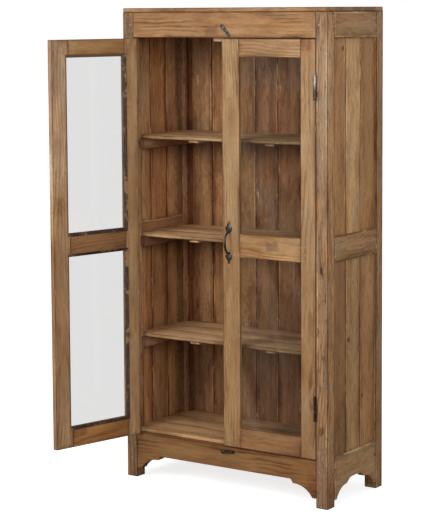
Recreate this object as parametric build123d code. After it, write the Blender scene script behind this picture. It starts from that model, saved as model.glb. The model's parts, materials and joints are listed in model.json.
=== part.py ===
from build123d import *
import os

# Display cabinet in reclaimed teak, in millimetres.
# +X is the viewer's right, +Y runs into the cabinet, +Z is up, and the origin is on the floor at
# the middle of the footprint. The right door is modelled closed and the left door stands open.
# Left and right always mean the viewer's, facing the doors.

# Overall size
width = 900.0
depth = 400.0
height = 1800.0

# Posts and top board
post_size = 48.0
post_wear = 2.0
foot_wear = 2.0
top_board_thickness = 16.0
top_board_corner = 4.0
top_board_edge = 2.5

# Rails: thickness and height of each kind, and where their edges lie above the floor
front_rail_thickness = 36.0
side_rail_thickness = 24.0
rear_rail_thickness = 26.0
top_rail_height = 94.0
middle_rail_height = 92.0
middle_rail_top = 984.0
front_bottom_rail_top = 174.0
side_bottom_rail_top = 182.0
rear_apron_edge = 92.0

# Shaped lower edges: from each post a bracket foot, a long hollow, a short step and the apron's edge.
# The heights are above the floor, and the runs are measured inwards from the post.
foot_width = 17.0
front_foot_edge = 35.0
front_hollow_run = 82.0
front_hollow_top = 78.0
front_step_run = 10.0
front_apron_edge = 93.0
side_foot_edge = 25.0
side_hollow_run = 72.0
side_hollow_top = 69.0
side_step_run = 24.0
side_apron_edge = 86.0
side_apron_crown = 2.0

# Mortise and tenon joints of the carcass, each locked by a square peg
tenon_thickness = 10.0
tenon_length = 24.0
tenon_shoulder = 10.0
joint_play = 0.1
mortise_end_gap = 1.0
peg_width = 7.0
peg_length = 30.0
peg_play = 0.05

# Planks that fill the sides and the back, let into grooves
plank_thickness = 11.0
plank_recess = 9.0
rear_recess = 4.0
groove_depth = 7.5
groove_play = 0.2
plank_gap = 0.5
plank_chamfer = 1.5
plank_tongue_thickness = 3.6
plank_tongue_length = 4.0
plank_tongue_play = 0.2
side_plank_widths = (94.0, 103.0, 107.0)
back_board_count = 8

# Floor and shelves
floor_thickness = 16.0
floor_setback = 25.0
floor_board_count = 3
shelf_thickness = 14.0
shelf_tops = {"upper": 1319.0, "middle": 943.0, "lower": 555.0}
shelf_board_count = 3
shelf_setback = 51.0
shelf_edge_wear = 2.0
shelf_play = 0.5
board_seam = 0.4

# Cleats that carry the shelves and the floor, and the battens that tie the shelf boards
cleat_thickness = 15.0
cleat_height = 40.0
cleat_setback = 36.0
cleat_end_round = 14.0
floor_cleat_thickness = 20.0
floor_cleat_height = 25.0
batten_width = 42.0
batten_thickness = 10.0
batten_position = 170.0
batten_setback = 9.0
batten_wear = 3.0

# Doors
door_thickness = 22.0
door_gap = 3.0
hinge_gap = 2.0
meeting_gap = 3.0
hinge_stile_width = 62.0
meeting_stile_width = 75.0
door_top_rail_height = 66.0
door_middle_rail_height = 88.0
door_middle_rail_top = 976.0
door_bottom_rail_height = 76.0
door_tenon_thickness = 8.0
door_tenon_length = 38.0
door_tenon_shoulder = 10.0
door_peg_width = 6.0
door_peg_spread = 28.0
left_door_open = 104.0

# Glass, set from the back against a lip and puttied in
rebate_width = 12.0
rebate_depth = 12.0
glass_thickness = 3.0
glass_play = 1.5
putty_width = 11.0
putty_lip = 2.0
putty_inset = 1.0
putty_play = 0.2

# Door stop under the top rail
stop_length = 104.0
stop_width = 16.0
stop_drop = 15.0
stop_gap = 2.0
stop_wear = 2.0

# Butt hinges: two to a door, each with three knuckles on one headed pin
hinge_height = 88.0
hinge_from_door_top = 171.0
hinge_from_door_bottom = 187.0
leaf_width = 20.0
leaf_thickness = 2.2
leaf_play = 0.15
knuckle_count = 3
knuckle_radius = 5.5
knuckle_gap = 0.4
knuckle_clearance = 0.3
pin_radius = 2.8
pin_play = 0.05
pin_head_radius = 4.5
pin_head_height = 3.0
pin_tip = 1.0

# Bow handle on the right door
handle_inset = 27.0
handle_centre = 940.0
handle_length = 160.0
handle_plate_width = 30.0
handle_plate_reach = 44.0
handle_plate_thickness = 3.0
handle_projection = 33.0
handle_bow_sides = 8
handle_bow_radius = 5.8
handle_neck_radius = 4.2
handle_neck_wall = 1.5

# Turn buttons: iron strips that swing on one screw
button_length = 60.0
button_width = 13.0
button_thickness = 2.5
button_end = 8.0
button_gap = 0.4
button_hole_radius = 2.2
top_button_across = 3.0
top_button_rise = 43.0
top_button_angle = 42.0
bottom_button_across = -2.0
bottom_button_drop = 21.0
bottom_button_angle = 96.0
screw_radius = 2.0
screw_head_radius = 4.6
screw_head_height = 2.4
screw_depth = 22.0

# Faces and edges that the pieces share
left_x = -width / 2
right_x = width / 2
front_y = -depth / 2
rear_y = depth / 2
inner_x = right_x - post_size
post_back_y = front_y + post_size
rear_post_y = rear_y - post_size
rail_top = height - top_board_thickness
top_rail_bottom = rail_top - top_rail_height
middle_rail_bottom = middle_rail_top - middle_rail_height
side_face_x = right_x - side_rail_thickness
plank_x = (right_x - plank_recess - plank_thickness, right_x - plank_recess)
back_board_y = (rear_y - rear_recess - plank_thickness, rear_y - rear_recess)
floor_top = front_bottom_rail_top + floor_thickness
door_bottom = front_bottom_rail_top + door_gap
door_top = top_rail_bottom - door_gap
hinge_pin_x = inner_x - hinge_gap / 2
hinge_pin_y = front_y - knuckle_radius - knuckle_clearance
hinge_centres = (door_top - hinge_from_door_top, door_bottom + hinge_from_door_bottom)
top_button_place = (top_button_across, top_rail_bottom + top_button_rise)
bottom_button_place = (bottom_button_across, front_bottom_rail_top - bottom_button_drop)


def block(x, y, z):
    """A squared piece between its low and high limits along X, Y and Z."""
    size = Box(x[1] - x[0], y[1] - y[0], z[1] - z[0], align=(Align.MIN, Align.MIN, Align.MIN))
    return Pos(x[0], y[0], z[0]) * size


def about(centre, size):
    """The low and high limits of a size centred on a place."""
    return (centre - size / 2, centre + size / 2)


def grown(limits, amount):
    """The same limits, moved apart by an amount at each end."""
    return (limits[0] - amount, limits[1] + amount)


def middle(limits):
    """The place halfway between two limits."""
    return (limits[0] + limits[1]) / 2


def other_side(piece):
    """The piece mirrored from one side of the cabinet to the other."""
    return mirror(piece, about=Plane.YZ)


def peg_along_y(x, z, y, across):
    """A square peg driven in along Y between two limits."""
    return block(about(x, across), y, about(z, across))


def peg_along_x(y, z, x, across):
    """A square peg driven in along X between two limits."""
    return block(x, about(y, across), about(z, across))


def cut(piece, tools):
    """The piece with every tool taken out of it."""
    for tool in tools:
        piece = piece - tool
    return piece


def face_inside(curves):
    """The flat face inside a closed set of curves."""
    return make_face([edge for curve in curves for edge in curve.edges()])


def write(name, pieces):
    """Write one node, a single solid or a group of separate ones."""
    solids = [solid for piece in pieces for solid in piece.solids()]
    shape = solids[0] if len(solids) == 1 else Compound(children=solids)
    export_step(shape, f"parts/{name}.step")


def tenon_heights(bottom, top):
    """The height limits of the tenon on a carcass rail, inside its shoulders."""
    return (bottom + tenon_shoulder, top - tenon_shoulder)


front_tenons = [
    tenon_heights(top_rail_bottom, rail_top),
    tenon_heights(front_apron_edge, front_bottom_rail_top),
]
rear_tenons = [
    tenon_heights(top_rail_bottom, rail_top),
    tenon_heights(rear_apron_edge, front_bottom_rail_top),
]
side_tenons = [
    tenon_heights(top_rail_bottom, rail_top),
    tenon_heights(middle_rail_bottom, middle_rail_top),
    tenon_heights(side_apron_edge, side_bottom_rail_top),
]
front_tenon_y = about(front_y + front_rail_thickness / 2, tenon_thickness)
rear_tenon_y = about(rear_y - rear_rail_thickness / 2, tenon_thickness)
side_tenon_x = about(right_x - side_rail_thickness / 2, tenon_thickness)
panel_heights = [(side_bottom_rail_top, middle_rail_bottom), (middle_rail_top, top_rail_bottom)]
back_height = (front_bottom_rail_top, top_rail_bottom)


def front_peg(z, across):
    """The peg that locks a front rail into the right post."""
    return peg_along_y(inner_x + tenon_length / 2, z, (front_y, front_y + peg_length), across)


def rear_peg(z, across):
    """The peg that locks a rear rail into the right post."""
    return peg_along_y(inner_x + tenon_length / 2, z, (rear_y - peg_length, rear_y), across)


def side_peg(y, z, across):
    """The peg that locks a right side rail into a post."""
    return peg_along_x(y, z, (right_x - peg_length, right_x), across)


peg_hole_width = peg_width + 2 * peg_play
front_side_peg_y = post_back_y - tenon_length / 2
rear_side_peg_y = rear_post_y + tenon_length / 2


def long_mortises(tenon_y, heights):
    """Mortises in the right post for the rails that run along X."""
    x = (inner_x, inner_x + tenon_length)
    return [block(x, tenon_y, limits) for limits in heights]


def side_mortises(y):
    """Mortises in a right post for the three side rails."""
    return [block(side_tenon_x, y, heights) for heights in side_tenons]


def side_grooves(y):
    """Grooves in a right post for the planks of both side panels."""
    across = grown(plank_x, groove_play)
    return [block(across, y, grown(heights, groove_depth)) for heights in panel_heights]


def hinge_recesses():
    """Shallow housings in the right front post for the fixed hinge leaves."""
    across = (inner_x, inner_x + leaf_thickness)
    along = (front_y, front_y + leaf_width + leaf_play)
    return [block(across, along, about(z, hinge_height + 2 * leaf_play)) for z in hinge_centres]


def front_post():
    """The right front post, from floor to top board."""
    body = block((inner_x, right_x), (front_y, post_back_y), (0, rail_top))
    corner = body.edges().filter_by(Axis.Z).sort_by(Axis.X)[-2:].sort_by(Axis.Y)[0]
    body = chamfer(corner, post_wear)
    body = chamfer(body.edges().group_by(Axis.Z)[0], foot_wear)
    tools = long_mortises(front_tenon_y, front_tenons)
    tools += side_mortises((post_back_y - tenon_length, post_back_y))
    tools += side_grooves((post_back_y - groove_depth, post_back_y))
    tools += hinge_recesses()
    tools += [front_peg(middle(heights), peg_hole_width) for heights in front_tenons]
    tools += [side_peg(front_side_peg_y, middle(heights), peg_hole_width) for heights in side_tenons]
    return cut(body, tools)


def rear_post():
    """The right rear post, grooved for the side planks and the back boards."""
    body = block((inner_x, right_x), (rear_post_y, rear_y), (0, rail_top))
    corner = body.edges().filter_by(Axis.Z).sort_by(Axis.X)[-2:].sort_by(Axis.Y)[-1]
    body = chamfer(corner, post_wear)
    body = chamfer(body.edges().group_by(Axis.Z)[0], foot_wear)
    back_groove = block(
        (inner_x, inner_x + groove_depth),
        grown(back_board_y, groove_play),
        grown(back_height, groove_depth),
    )
    tools = long_mortises(rear_tenon_y, rear_tenons)
    tools += side_mortises((rear_post_y, rear_post_y + tenon_length))
    tools += side_grooves((rear_post_y, rear_post_y + groove_depth))
    tools += [back_groove]
    tools += [rear_peg(middle(heights), peg_hole_width) for heights in rear_tenons]
    tools += [side_peg(rear_side_peg_y, middle(heights), peg_hole_width) for heights in side_tenons]
    return cut(body, tools)


def long_rail(y, tenon_y, z, heights, peg):
    """A rail across the front or the back, with a tenon at each end."""
    body = block((-inner_x, inner_x), y, z)
    reach = inner_x + tenon_length - mortise_end_gap
    body += block((-reach, reach), grown(tenon_y, -joint_play), grown(heights, -joint_play))
    hole = peg(middle(heights), peg_hole_width)
    return cut(body, [hole, other_side(hole)])


def side_rail(z, heights):
    """A right side rail, with a tenon into each post."""
    body = block((side_face_x, right_x), (post_back_y, rear_post_y), z)
    reach = (post_back_y - tenon_length + mortise_end_gap, rear_post_y + tenon_length - mortise_end_gap)
    body += block(grown(side_tenon_x, -joint_play), reach, grown(heights, -joint_play))
    holes = [side_peg(y, middle(heights), peg_hole_width) for y in (front_side_peg_y, rear_side_peg_y)]
    return cut(body, holes)


def apron_opening(half, foot, hollow, step, edge, crown):
    """The face cut away under a bottom rail, from a bracket foot at one post to one at the other.

    The foot's height is given, then where the hollow and the step end, as (run, height). The edge
    is the apron's own height beside the step, and the crown is its rise to the middle.
    """
    start = half - foot_width
    knee = (start - hollow[0], hollow[1])
    hollow_point = (start - 0.40 * hollow[0], foot + 0.74 * (hollow[1] - foot))
    end = (knee[0] - step, edge)
    low = foot - post_size
    curves = [
        Line((half, low), (half, foot)),
        Line((half, foot), (start, foot)),
        ThreePointArc((start, foot), hollow_point, knee),
        Line(knee, end),
    ]
    other = [mirror(curve, about=Plane.YZ) for curve in curves]
    if crown > 0:
        across = ThreePointArc(end, (0, edge + crown), (-end[0], edge))
    else:
        across = Line(end, (-end[0], edge))
    return face_inside(curves + other + [across, Line((-half, low), (half, low))])


def front_bottom_rail():
    """The shaped rail under the doors, whose ends run down as bracket feet."""
    rail = long_rail(
        (front_y, front_y + front_rail_thickness),
        front_tenon_y,
        (front_foot_edge, front_bottom_rail_top),
        front_tenons[1],
        front_peg,
    )
    hollow = (front_hollow_run, front_hollow_top)
    face = apron_opening(inner_x, front_foot_edge, hollow, front_step_run, front_apron_edge, 0)
    standing = Pos(0, front_y + front_rail_thickness, 0) * (Plane.XZ * face)
    return rail - extrude(standing, front_rail_thickness)


def side_bottom_rail():
    """A right side's shaped bottom rail."""
    rail = side_rail((side_foot_edge, side_bottom_rail_top), side_tenons[2])
    half = (rear_post_y - post_back_y) / 2
    hollow = (side_hollow_run, side_hollow_top)
    face = apron_opening(half, side_foot_edge, hollow, side_step_run, side_apron_edge, side_apron_crown)
    standing = Pos(side_face_x, 0, 0) * (Plane.YZ * face)
    return rail - extrude(standing, side_rail_thickness)


def rail_groove(edge_z, direction):
    """The groove along a side rail's edge; direction is 1 above that edge and -1 below it."""
    heights = sorted((edge_z, edge_z + direction * groove_depth))
    return block(grown(plank_x, groove_play), (post_back_y, rear_post_y), heights)


def back_groove(edge_z, direction):
    """The groove for the back boards along a rear rail's edge."""
    heights = sorted((edge_z, edge_z + direction * groove_depth))
    return block((-inner_x, inner_x), grown(back_board_y, groove_play), heights)


def plank_section(span, tongued, grooved):
    """A plank's section, run out along X, with a tongue at its high edge and a groove at its low."""
    section = Pos(middle(span), 0) * Rectangle(span[1] - span[0], plank_thickness)
    section = chamfer(section.vertices(), plank_chamfer)
    if tongued:
        tongue = Rectangle(plank_tongue_length, plank_tongue_thickness, align=(Align.MIN, Align.CENTER))
        section += Pos(span[1], 0) * tongue
    if grooved:
        clear_thickness = plank_tongue_thickness + 2 * plank_tongue_play
        groove = Rectangle(plank_tongue_length, clear_thickness, align=(Align.MIN, Align.CENTER))
        section -= Pos(span[0], 0) * groove
    return section


def planked(edges):
    """The sections of planks that meet at the given places, tongue into groove."""
    last = len(edges) - 2
    sections = []
    for i in range(last + 1):
        span = grown((edges[i], edges[i + 1]), -board_seam / 2)
        sections.append(plank_section(span, i < last, i > 0))
    return sections


def side_panel(heights):
    """The planks of one right side panel, standing in the grooves."""
    low = heights[0] - groove_depth
    length = heights[1] + groove_depth - plank_gap - low
    reach = groove_depth - plank_gap
    clear = rear_post_y - post_back_y
    edges = [post_back_y]
    for share in side_plank_widths:
        edges.append(edges[-1] + clear * share / sum(side_plank_widths))
    edges[0] -= reach
    edges[-1] += reach
    place = Pos(middle(plank_x), 0, low)
    return [place * extrude(Rot(0, 0, 90) * section, length) for section in planked(edges)]


def back_boards():
    """The upright boards of the back, in one height from rail to rail."""
    low = back_height[0] - groove_depth
    length = back_height[1] + groove_depth - plank_gap - low
    reach = inner_x + groove_depth - plank_gap
    step = 2 * reach / back_board_count
    edges = [-reach + step * i for i in range(back_board_count + 1)]
    place = Pos(0, middle(back_board_y), low)
    return [place * extrude(section, length) for section in planked(edges)]


def deck(front, rear, reach, top, thickness, count):
    """Boards side by side that make a floor or a shelf, notched where the posts stand."""
    step = (rear - front) / count
    notches = []
    for y in ((front_y, post_back_y), (rear_post_y, rear_y)):
        notch = block((inner_x - shelf_play, right_x), grown(y, shelf_play), (0, height))
        notches += [notch, other_side(notch)]
    boards = []
    for i in range(count):
        y = (front + step * i + board_seam / 2, front + step * (i + 1) - board_seam / 2)
        board = block((-reach, reach), y, (top - thickness, top))
        if i == 0:
            worn = board.edges().filter_by(Axis.X).group_by(Axis.Y)[0]
            board = chamfer(worn, shelf_edge_wear)
        boards.append(cut(board, notches))
    return boards


def shelf(top):
    """The boards of the shelf with this top height."""
    reach = side_face_x - shelf_play
    rear = back_board_y[0] - shelf_play
    return deck(front_y + shelf_setback, rear, reach, top, shelf_thickness, shelf_board_count)


def floor_boards():
    """The boards of the floor, let in between the side rails."""
    reach = side_face_x - shelf_play
    rear = back_board_y[0] - shelf_play
    return deck(front_y + floor_setback, rear, reach, floor_top, floor_thickness, floor_board_count)


def shelf_cleat(top):
    """The right cleat under one shelf, fixed to both posts, its front end rounded."""
    z = (top - shelf_thickness - cleat_height, top - shelf_thickness)
    y = (front_y + cleat_setback, back_board_y[0] - shelf_play)
    body = block((inner_x - cleat_thickness, inner_x), y, z)
    toe = body.edges().filter_by(Axis.X).sort_by(Axis.Y)[:2].sort_by(Axis.Z)[0]
    return fillet(toe, cleat_end_round)


def shelf_battens(top):
    """The two battens that tie one shelf's boards together from below."""
    z = (top - shelf_thickness - batten_thickness, top - shelf_thickness)
    y = (front_y + shelf_setback + batten_setback, back_board_y[0] - batten_setback)
    batten = block(about(batten_position, batten_width), y, z)
    batten = chamfer(batten.edges().filter_by(Axis.X).group_by(Axis.Z)[0], batten_wear)
    return [batten, other_side(batten)]


def floor_cleat():
    """The right cleat under the floor, on the inner face of the side rail."""
    x = (side_face_x - floor_cleat_thickness, side_face_x)
    z = (front_bottom_rail_top - floor_cleat_height, front_bottom_rail_top)
    return block(x, (post_back_y, rear_post_y), z)


def door_stop():
    """The block under the top rail that both doors close against."""
    y = (front_y + door_thickness + stop_gap, front_y + door_thickness + stop_gap + stop_width)
    body = block(about(0, stop_length), y, (top_rail_bottom - stop_drop, top_rail_bottom))
    return chamfer(body.edges().group_by(Axis.Z)[0], stop_wear)


# The right door, closed. Its frame, glass and ironwork turn together about the hinge pins.
door_x = (meeting_gap / 2, inner_x - hinge_gap)
door_y = (front_y, front_y + door_thickness)
sight_x = (door_x[0] + meeting_stile_width, door_x[1] - hinge_stile_width)
door_middle_rail_bottom = door_middle_rail_top - door_middle_rail_height
lower_sight_z = (door_bottom + door_bottom_rail_height, door_middle_rail_bottom)
upper_sight_z = (door_middle_rail_top, door_top - door_top_rail_height)
door_rails = {
    "top": (upper_sight_z[1], door_top),
    "middle": (door_middle_rail_bottom, door_middle_rail_top),
    "bottom": (door_bottom, lower_sight_z[0]),
}
rebate_y = (door_y[1] - rebate_depth, door_y[1])


def door_tenon(name):
    """The height limits of a door rail's tenon, kept clear of the glass rebates."""
    low, high = door_rails[name]
    below = door_tenon_shoulder if name == "bottom" else rebate_width + joint_play
    above = door_tenon_shoulder if name == "top" else rebate_width + joint_play
    return (low + below, high - above)


def door_peg_heights(name):
    """The heights of the pegs through one end of a door rail."""
    centre = middle(door_tenon(name))
    if name == "middle":
        return about(centre, door_peg_spread)
    return (centre,)


def door_peg_places():
    """Where each peg passes through the door, as (x, z)."""
    across = (sight_x[0] - door_tenon_length / 2, sight_x[1] + door_tenon_length / 2)
    return [(x, z) for name in door_rails for z in door_peg_heights(name) for x in across]


def door_pegs(across):
    """The pegs of the right door, or with a larger width the tools for their holes."""
    return [peg_along_y(x, z, door_y, across) for x, z in door_peg_places()]


door_tenon_y = about(middle(door_y), door_tenon_thickness)
glass_rebates = [
    block(grown(sight_x, rebate_width), rebate_y, grown(sight, rebate_width))
    for sight in (lower_sight_z, upper_sight_z)
]
door_peg_holes = door_pegs(door_peg_width + 2 * peg_play)


def door_stile(x, inner_edge, direction):
    """An upright of the door; direction points from its inner edge into the timber."""
    body = block(x, door_y, (door_bottom, door_top))
    depth_limits = sorted((inner_edge, inner_edge + direction * door_tenon_length))
    mortises = [block(depth_limits, door_tenon_y, door_tenon(name)) for name in door_rails]
    return cut(body, mortises + glass_rebates + door_peg_holes)


def door_leaf_recesses():
    """Housings in the hinge stile's edge for the moving hinge leaves."""
    x = (door_x[1] - leaf_thickness, door_x[1])
    y = (front_y, front_y + leaf_width + leaf_play)
    return [block(x, y, about(z, hinge_height + 2 * leaf_play)) for z in hinge_centres]


def door_rail(name):
    """One rail of the right door, with a tenon into each stile."""
    body = block(sight_x, door_y, door_rails[name])
    tongue_x = grown(sight_x, door_tenon_length - mortise_end_gap)
    body += block(tongue_x, grown(door_tenon_y, -joint_play), grown(door_tenon(name), -joint_play))
    return cut(body, glass_rebates + door_peg_holes)


def pane(sight):
    """One sheet of glass, lying against the front lip of its rebate."""
    y = (rebate_y[0], rebate_y[0] + glass_thickness)
    reach = rebate_width - glass_play
    return block(grown(sight_x, reach), y, grown(sight, reach))


def putty(sight):
    """The fillet of putty behind one pane, bevelled from the rebate's edge down to the glass."""
    near = rebate_y[0] + glass_thickness
    far = door_y[1] - putty_inset
    reach = rebate_width - putty_play
    body = block(grown(sight_x, reach), (near, far), grown(sight, reach))
    sections = []
    for y, inset in ((near, putty_width), (far, putty_lip)):
        x = grown(sight_x, rebate_width - inset)
        z = grown(sight, rebate_width - inset)
        face = Rectangle(x[1] - x[0], z[1] - z[0])
        sections.append(Pos(middle(x), y, middle(z)) * (Rot(90, 0, 0) * face))
    return body - loft(sections, ruled=True)


def knuckle_heights(centre, fixed):
    """The height limits of the knuckles on the fixed or the moving leaf of one hinge."""
    step = hinge_height / knuckle_count
    first = 0 if fixed else 1
    base = centre - hinge_height / 2
    return [
        (base + step * i + knuckle_gap / 2, base + step * (i + 1) - knuckle_gap / 2)
        for i in range(first, knuckle_count, 2)
    ]


def hinge_leaf(centre, fixed):
    """One leaf of a right hinge with its knuckles, rolled round the pin."""
    x = (inner_x, inner_x + leaf_thickness) if fixed else (door_x[1] - leaf_thickness, door_x[1])
    leaf = block(x, (front_y, front_y + leaf_width), about(centre, hinge_height))
    for z in knuckle_heights(centre, fixed):
        leaf += block(x, (hinge_pin_y, front_y), z)
        barrel = Cylinder(knuckle_radius, z[1] - z[0], align=(Align.CENTER, Align.CENTER, Align.MIN))
        leaf += Pos(hinge_pin_x, hinge_pin_y, z[0]) * barrel
    bore = Cylinder(pin_radius + pin_play, hinge_height)
    return leaf - Pos(hinge_pin_x, hinge_pin_y, centre) * bore


def hinge_pin(centre):
    """The pin of one right hinge, with a low button head above and its tip just showing below."""
    half = hinge_height / 2
    outline = Polyline(
        (0, half + pin_head_height),
        (pin_head_radius / 2, half + pin_head_height),
        (pin_head_radius, half),
        (pin_radius, half),
        (pin_radius, -half - pin_tip),
        (0, -half - pin_tip),
        close=True,
    )
    turned = revolve(make_face(Plane.XZ * outline), axis=Axis.Z)
    return Pos(hinge_pin_x, hinge_pin_y, centre) * turned


def door_handle():
    """A forged bow handle: two spade plates joined by an eight-sided bow, thickest at its middle."""
    half = handle_length / 2
    side = handle_plate_width / 2
    reach = handle_plate_reach
    neck = half - reach
    shoulder = neck + 0.45 * reach
    throat = handle_neck_radius + handle_neck_wall
    tip = (0.22 * side, half - 0.07 * reach)
    edge = [
        ThreePointArc((throat, neck), (0.80 * side, neck + 0.14 * reach), (side, shoulder)),
        ThreePointArc((side, shoulder), (0.45 * side, shoulder + 0.21 * reach), tip),
        ThreePointArc(tip, (0.12 * side, half - 0.02 * reach), (0, half)),
    ]
    other = [mirror(curve, about=Plane.YZ) for curve in edge]
    face = face_inside(edge + other + [Line((-throat, neck), (throat, neck))])
    plate = extrude(Rot(90, 0, 0) * face, handle_plate_thickness)
    plates = plate + mirror(plate, about=Plane.XY)
    root = -handle_plate_thickness / 3
    seat = neck + handle_neck_radius
    crown = handle_bow_radius - handle_projection
    path = ThreePointArc((0, root, seat), (0, crown, 0), (0, root, -seat))
    widths = ((0, handle_neck_radius), (0.5, handle_bow_radius), (1, handle_neck_radius))
    sections = []
    for place, radius in widths:
        across = Plane(origin=path.position_at(place), z_dir=path.tangent_at(place))
        sections.append(across * RegularPolygon(radius, handle_bow_sides))
    bow = sweep(sections, path=path, multisection=True)
    behind_the_door_face = block((-side, side), (0, handle_projection), (-half, half))
    handle = plates + bow - behind_the_door_face
    return Pos(door_x[0] + handle_inset, front_y, handle_centre) * handle


def turn_button(place, angle):
    """An iron strip with three holes; angle turns it from hanging down towards the right."""
    strip = SlotOverall(button_length, button_width)
    strip = Rot(0, 0, 90) * strip
    drop = button_length / 2 - button_end
    spots = (drop, 0, -drop)
    holes = [Pos(0, spot, 0) * Circle(button_hole_radius) for spot in spots]
    for hole in holes:
        strip -= hole
    body = extrude(Rot(90, 0, 0) * strip, button_thickness)
    hung = Pos(0, 0, -drop) * body
    turned = Rot(0, -angle, 0) * hung
    return Pos(place[0], front_y - button_gap, place[1]) * turned


def button_screw(place):
    """The round-headed screw that a turn button swings on."""
    head_base = button_gap + button_thickness + button_gap
    outline = Polyline(
        (0, -screw_depth),
        (screw_radius, -screw_depth),
        (screw_radius, head_base),
        (screw_head_radius, head_base),
        (screw_head_radius / 2, head_base + screw_head_height),
        (0, head_base + screw_head_height),
        close=True,
    )
    turned = revolve(make_face(Plane.XZ * outline), axis=Axis.Z)
    return Pos(place[0], front_y, place[1]) * (Rot(90, 0, 0) * turned)


def screw_hole(place):
    """The hole in a front rail for a turn button's screw."""
    drill = Rot(90, 0, 0) * Cylinder(screw_radius + peg_play, 2 * screw_depth)
    return Pos(place[0], front_y, place[1]) * drill


def opened(piece):
    """A piece of the closed left door, turned to where that door stands open."""
    pin = Axis((-hinge_pin_x, hinge_pin_y, 0), (0, 0, 1))
    return piece.rotate(pin, -left_door_open)


def right_door_pieces():
    """Every piece of the closed right door that the left door has too."""
    hinge_stile = cut(door_stile((sight_x[1], door_x[1]), sight_x[1], 1), door_leaf_recesses())
    return {
        "hinge_stile": [hinge_stile],
        "meeting_stile": [door_stile((door_x[0], sight_x[0]), sight_x[0], -1)],
        "top_rail": [door_rail("top")],
        "middle_rail": [door_rail("middle")],
        "bottom_rail": [door_rail("bottom")],
        "upper_glass": [pane(upper_sight_z)],
        "lower_glass": [pane(lower_sight_z)],
        "putty": [putty(upper_sight_z), putty(lower_sight_z)],
        "pegs": door_pegs(door_peg_width),
        "hinge_leaves": [hinge_leaf(z, fixed=False) for z in hinge_centres],
    }


def top_board():
    body = block((left_x, right_x), (front_y, rear_y), (rail_top, height))
    body = chamfer(body.edges().filter_by(Axis.Z), top_board_corner)
    return chamfer(body.edges().group_by(Axis.Z)[-1], top_board_edge)


def both_sides(name, pieces):
    """Write a right-hand node and its left-hand mirror image."""
    write(f"right_{name}", pieces)
    write(f"left_{name}", [other_side(piece) for piece in pieces])


def carcass():
    """Write every fixed piece of the cabinet."""
    for name, piece in (("front", front_post()), ("rear", rear_post())):
        write(f"{name}_right_post", [piece])
        write(f"{name}_left_post", [other_side(piece)])
    write("top_board", [top_board()])

    front_span = (front_y, front_y + front_rail_thickness)
    rear_span = (rear_y - rear_rail_thickness, rear_y)
    front_top = long_rail(front_span, front_tenon_y, (top_rail_bottom, rail_top), front_tenons[0], front_peg)
    write("front_top_rail", [front_top - screw_hole(top_button_place)])
    write("front_bottom_rail", [front_bottom_rail() - screw_hole(bottom_button_place)])
    rear_top = long_rail(rear_span, rear_tenon_y, (top_rail_bottom, rail_top), rear_tenons[0], rear_peg)
    write("rear_top_rail", [rear_top - back_groove(top_rail_bottom, 1)])
    rear_low = (rear_apron_edge, front_bottom_rail_top)
    rear_bottom = long_rail(rear_span, rear_tenon_y, rear_low, rear_tenons[1], rear_peg)
    write("rear_bottom_rail", [rear_bottom - back_groove(front_bottom_rail_top, -1)])

    top_rail = side_rail((top_rail_bottom, rail_top), side_tenons[0])
    both_sides("top_rail", [top_rail - rail_groove(top_rail_bottom, 1)])
    middle_rail = side_rail((middle_rail_bottom, middle_rail_top), side_tenons[1])
    middle_grooves = [rail_groove(middle_rail_top, -1), rail_groove(middle_rail_bottom, 1)]
    both_sides("middle_rail", [cut(middle_rail, middle_grooves)])
    both_sides("bottom_rail", [side_bottom_rail() - rail_groove(side_bottom_rail_top, -1)])
    both_sides("lower_planks", side_panel(panel_heights[0]))
    both_sides("upper_planks", side_panel(panel_heights[1]))
    write("back_boards", back_boards())

    right_pegs = [front_peg(middle(heights), peg_width) for heights in front_tenons]
    right_pegs += [rear_peg(middle(heights), peg_width) for heights in rear_tenons]
    for y in (front_side_peg_y, rear_side_peg_y):
        right_pegs += [side_peg(y, middle(heights), peg_width) for heights in side_tenons]
    write("frame_pegs", right_pegs + [other_side(peg) for peg in right_pegs])


def inside():
    """Write the floor, the shelves and what carries them."""
    write("floor_boards", floor_boards())
    write("floor_cleats", [floor_cleat(), other_side(floor_cleat())])
    for name, top in shelf_tops.items():
        write(f"{name}_shelf", shelf(top))
    write("shelf_battens", [batten for top in shelf_tops.values() for batten in shelf_battens(top)])
    both_sides("shelf_cleats", [shelf_cleat(top) for top in shelf_tops.values()])
    write("door_stop", [door_stop()])


def ironwork():
    """Write the fixed hinge leaves, the pins, the handle and the turn buttons."""
    leaves = [hinge_leaf(z, fixed=True) for z in hinge_centres]
    pins = [hinge_pin(z) for z in hinge_centres]
    write("hinge_frame_leaves", leaves + [other_side(leaf) for leaf in leaves])
    write("hinge_pins", pins + [other_side(pin) for pin in pins])
    write("door_handle", [door_handle()])
    write("top_turn_button", [turn_button(top_button_place, top_button_angle)])
    write("bottom_turn_button", [turn_button(bottom_button_place, bottom_button_angle)])
    write("turn_button_screws", [button_screw(top_button_place), button_screw(bottom_button_place)])


def doors():
    """Write both doors, the left one as the mirror image turned open."""
    for name, pieces in right_door_pieces().items():
        write(f"right_door_{name}", pieces)
        write(f"left_door_{name}", [opened(other_side(piece)) for piece in pieces])


os.makedirs("parts", exist_ok=True)
carcass()
inside()
ironwork()
doors()
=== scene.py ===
"""The looks of a display cabinet in reclaimed teak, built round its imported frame.

Each timber is a worn copy of its solid, in which every board has a grain of its own. The bow
handle, the screws and the nails are made here, and the hinges, panes and putty are the frame's
own solids in better finishes. Lengths are in metres: +X is the viewer's right, +Y runs into the
cabinet and +Z is up. Left and right mean the viewer's, facing the doors.
"""

import json
import logging
import math
import random
from dataclasses import dataclass, field
from enum import Enum

import bmesh
import bpy
from mathutils import Matrix, Vector


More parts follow.
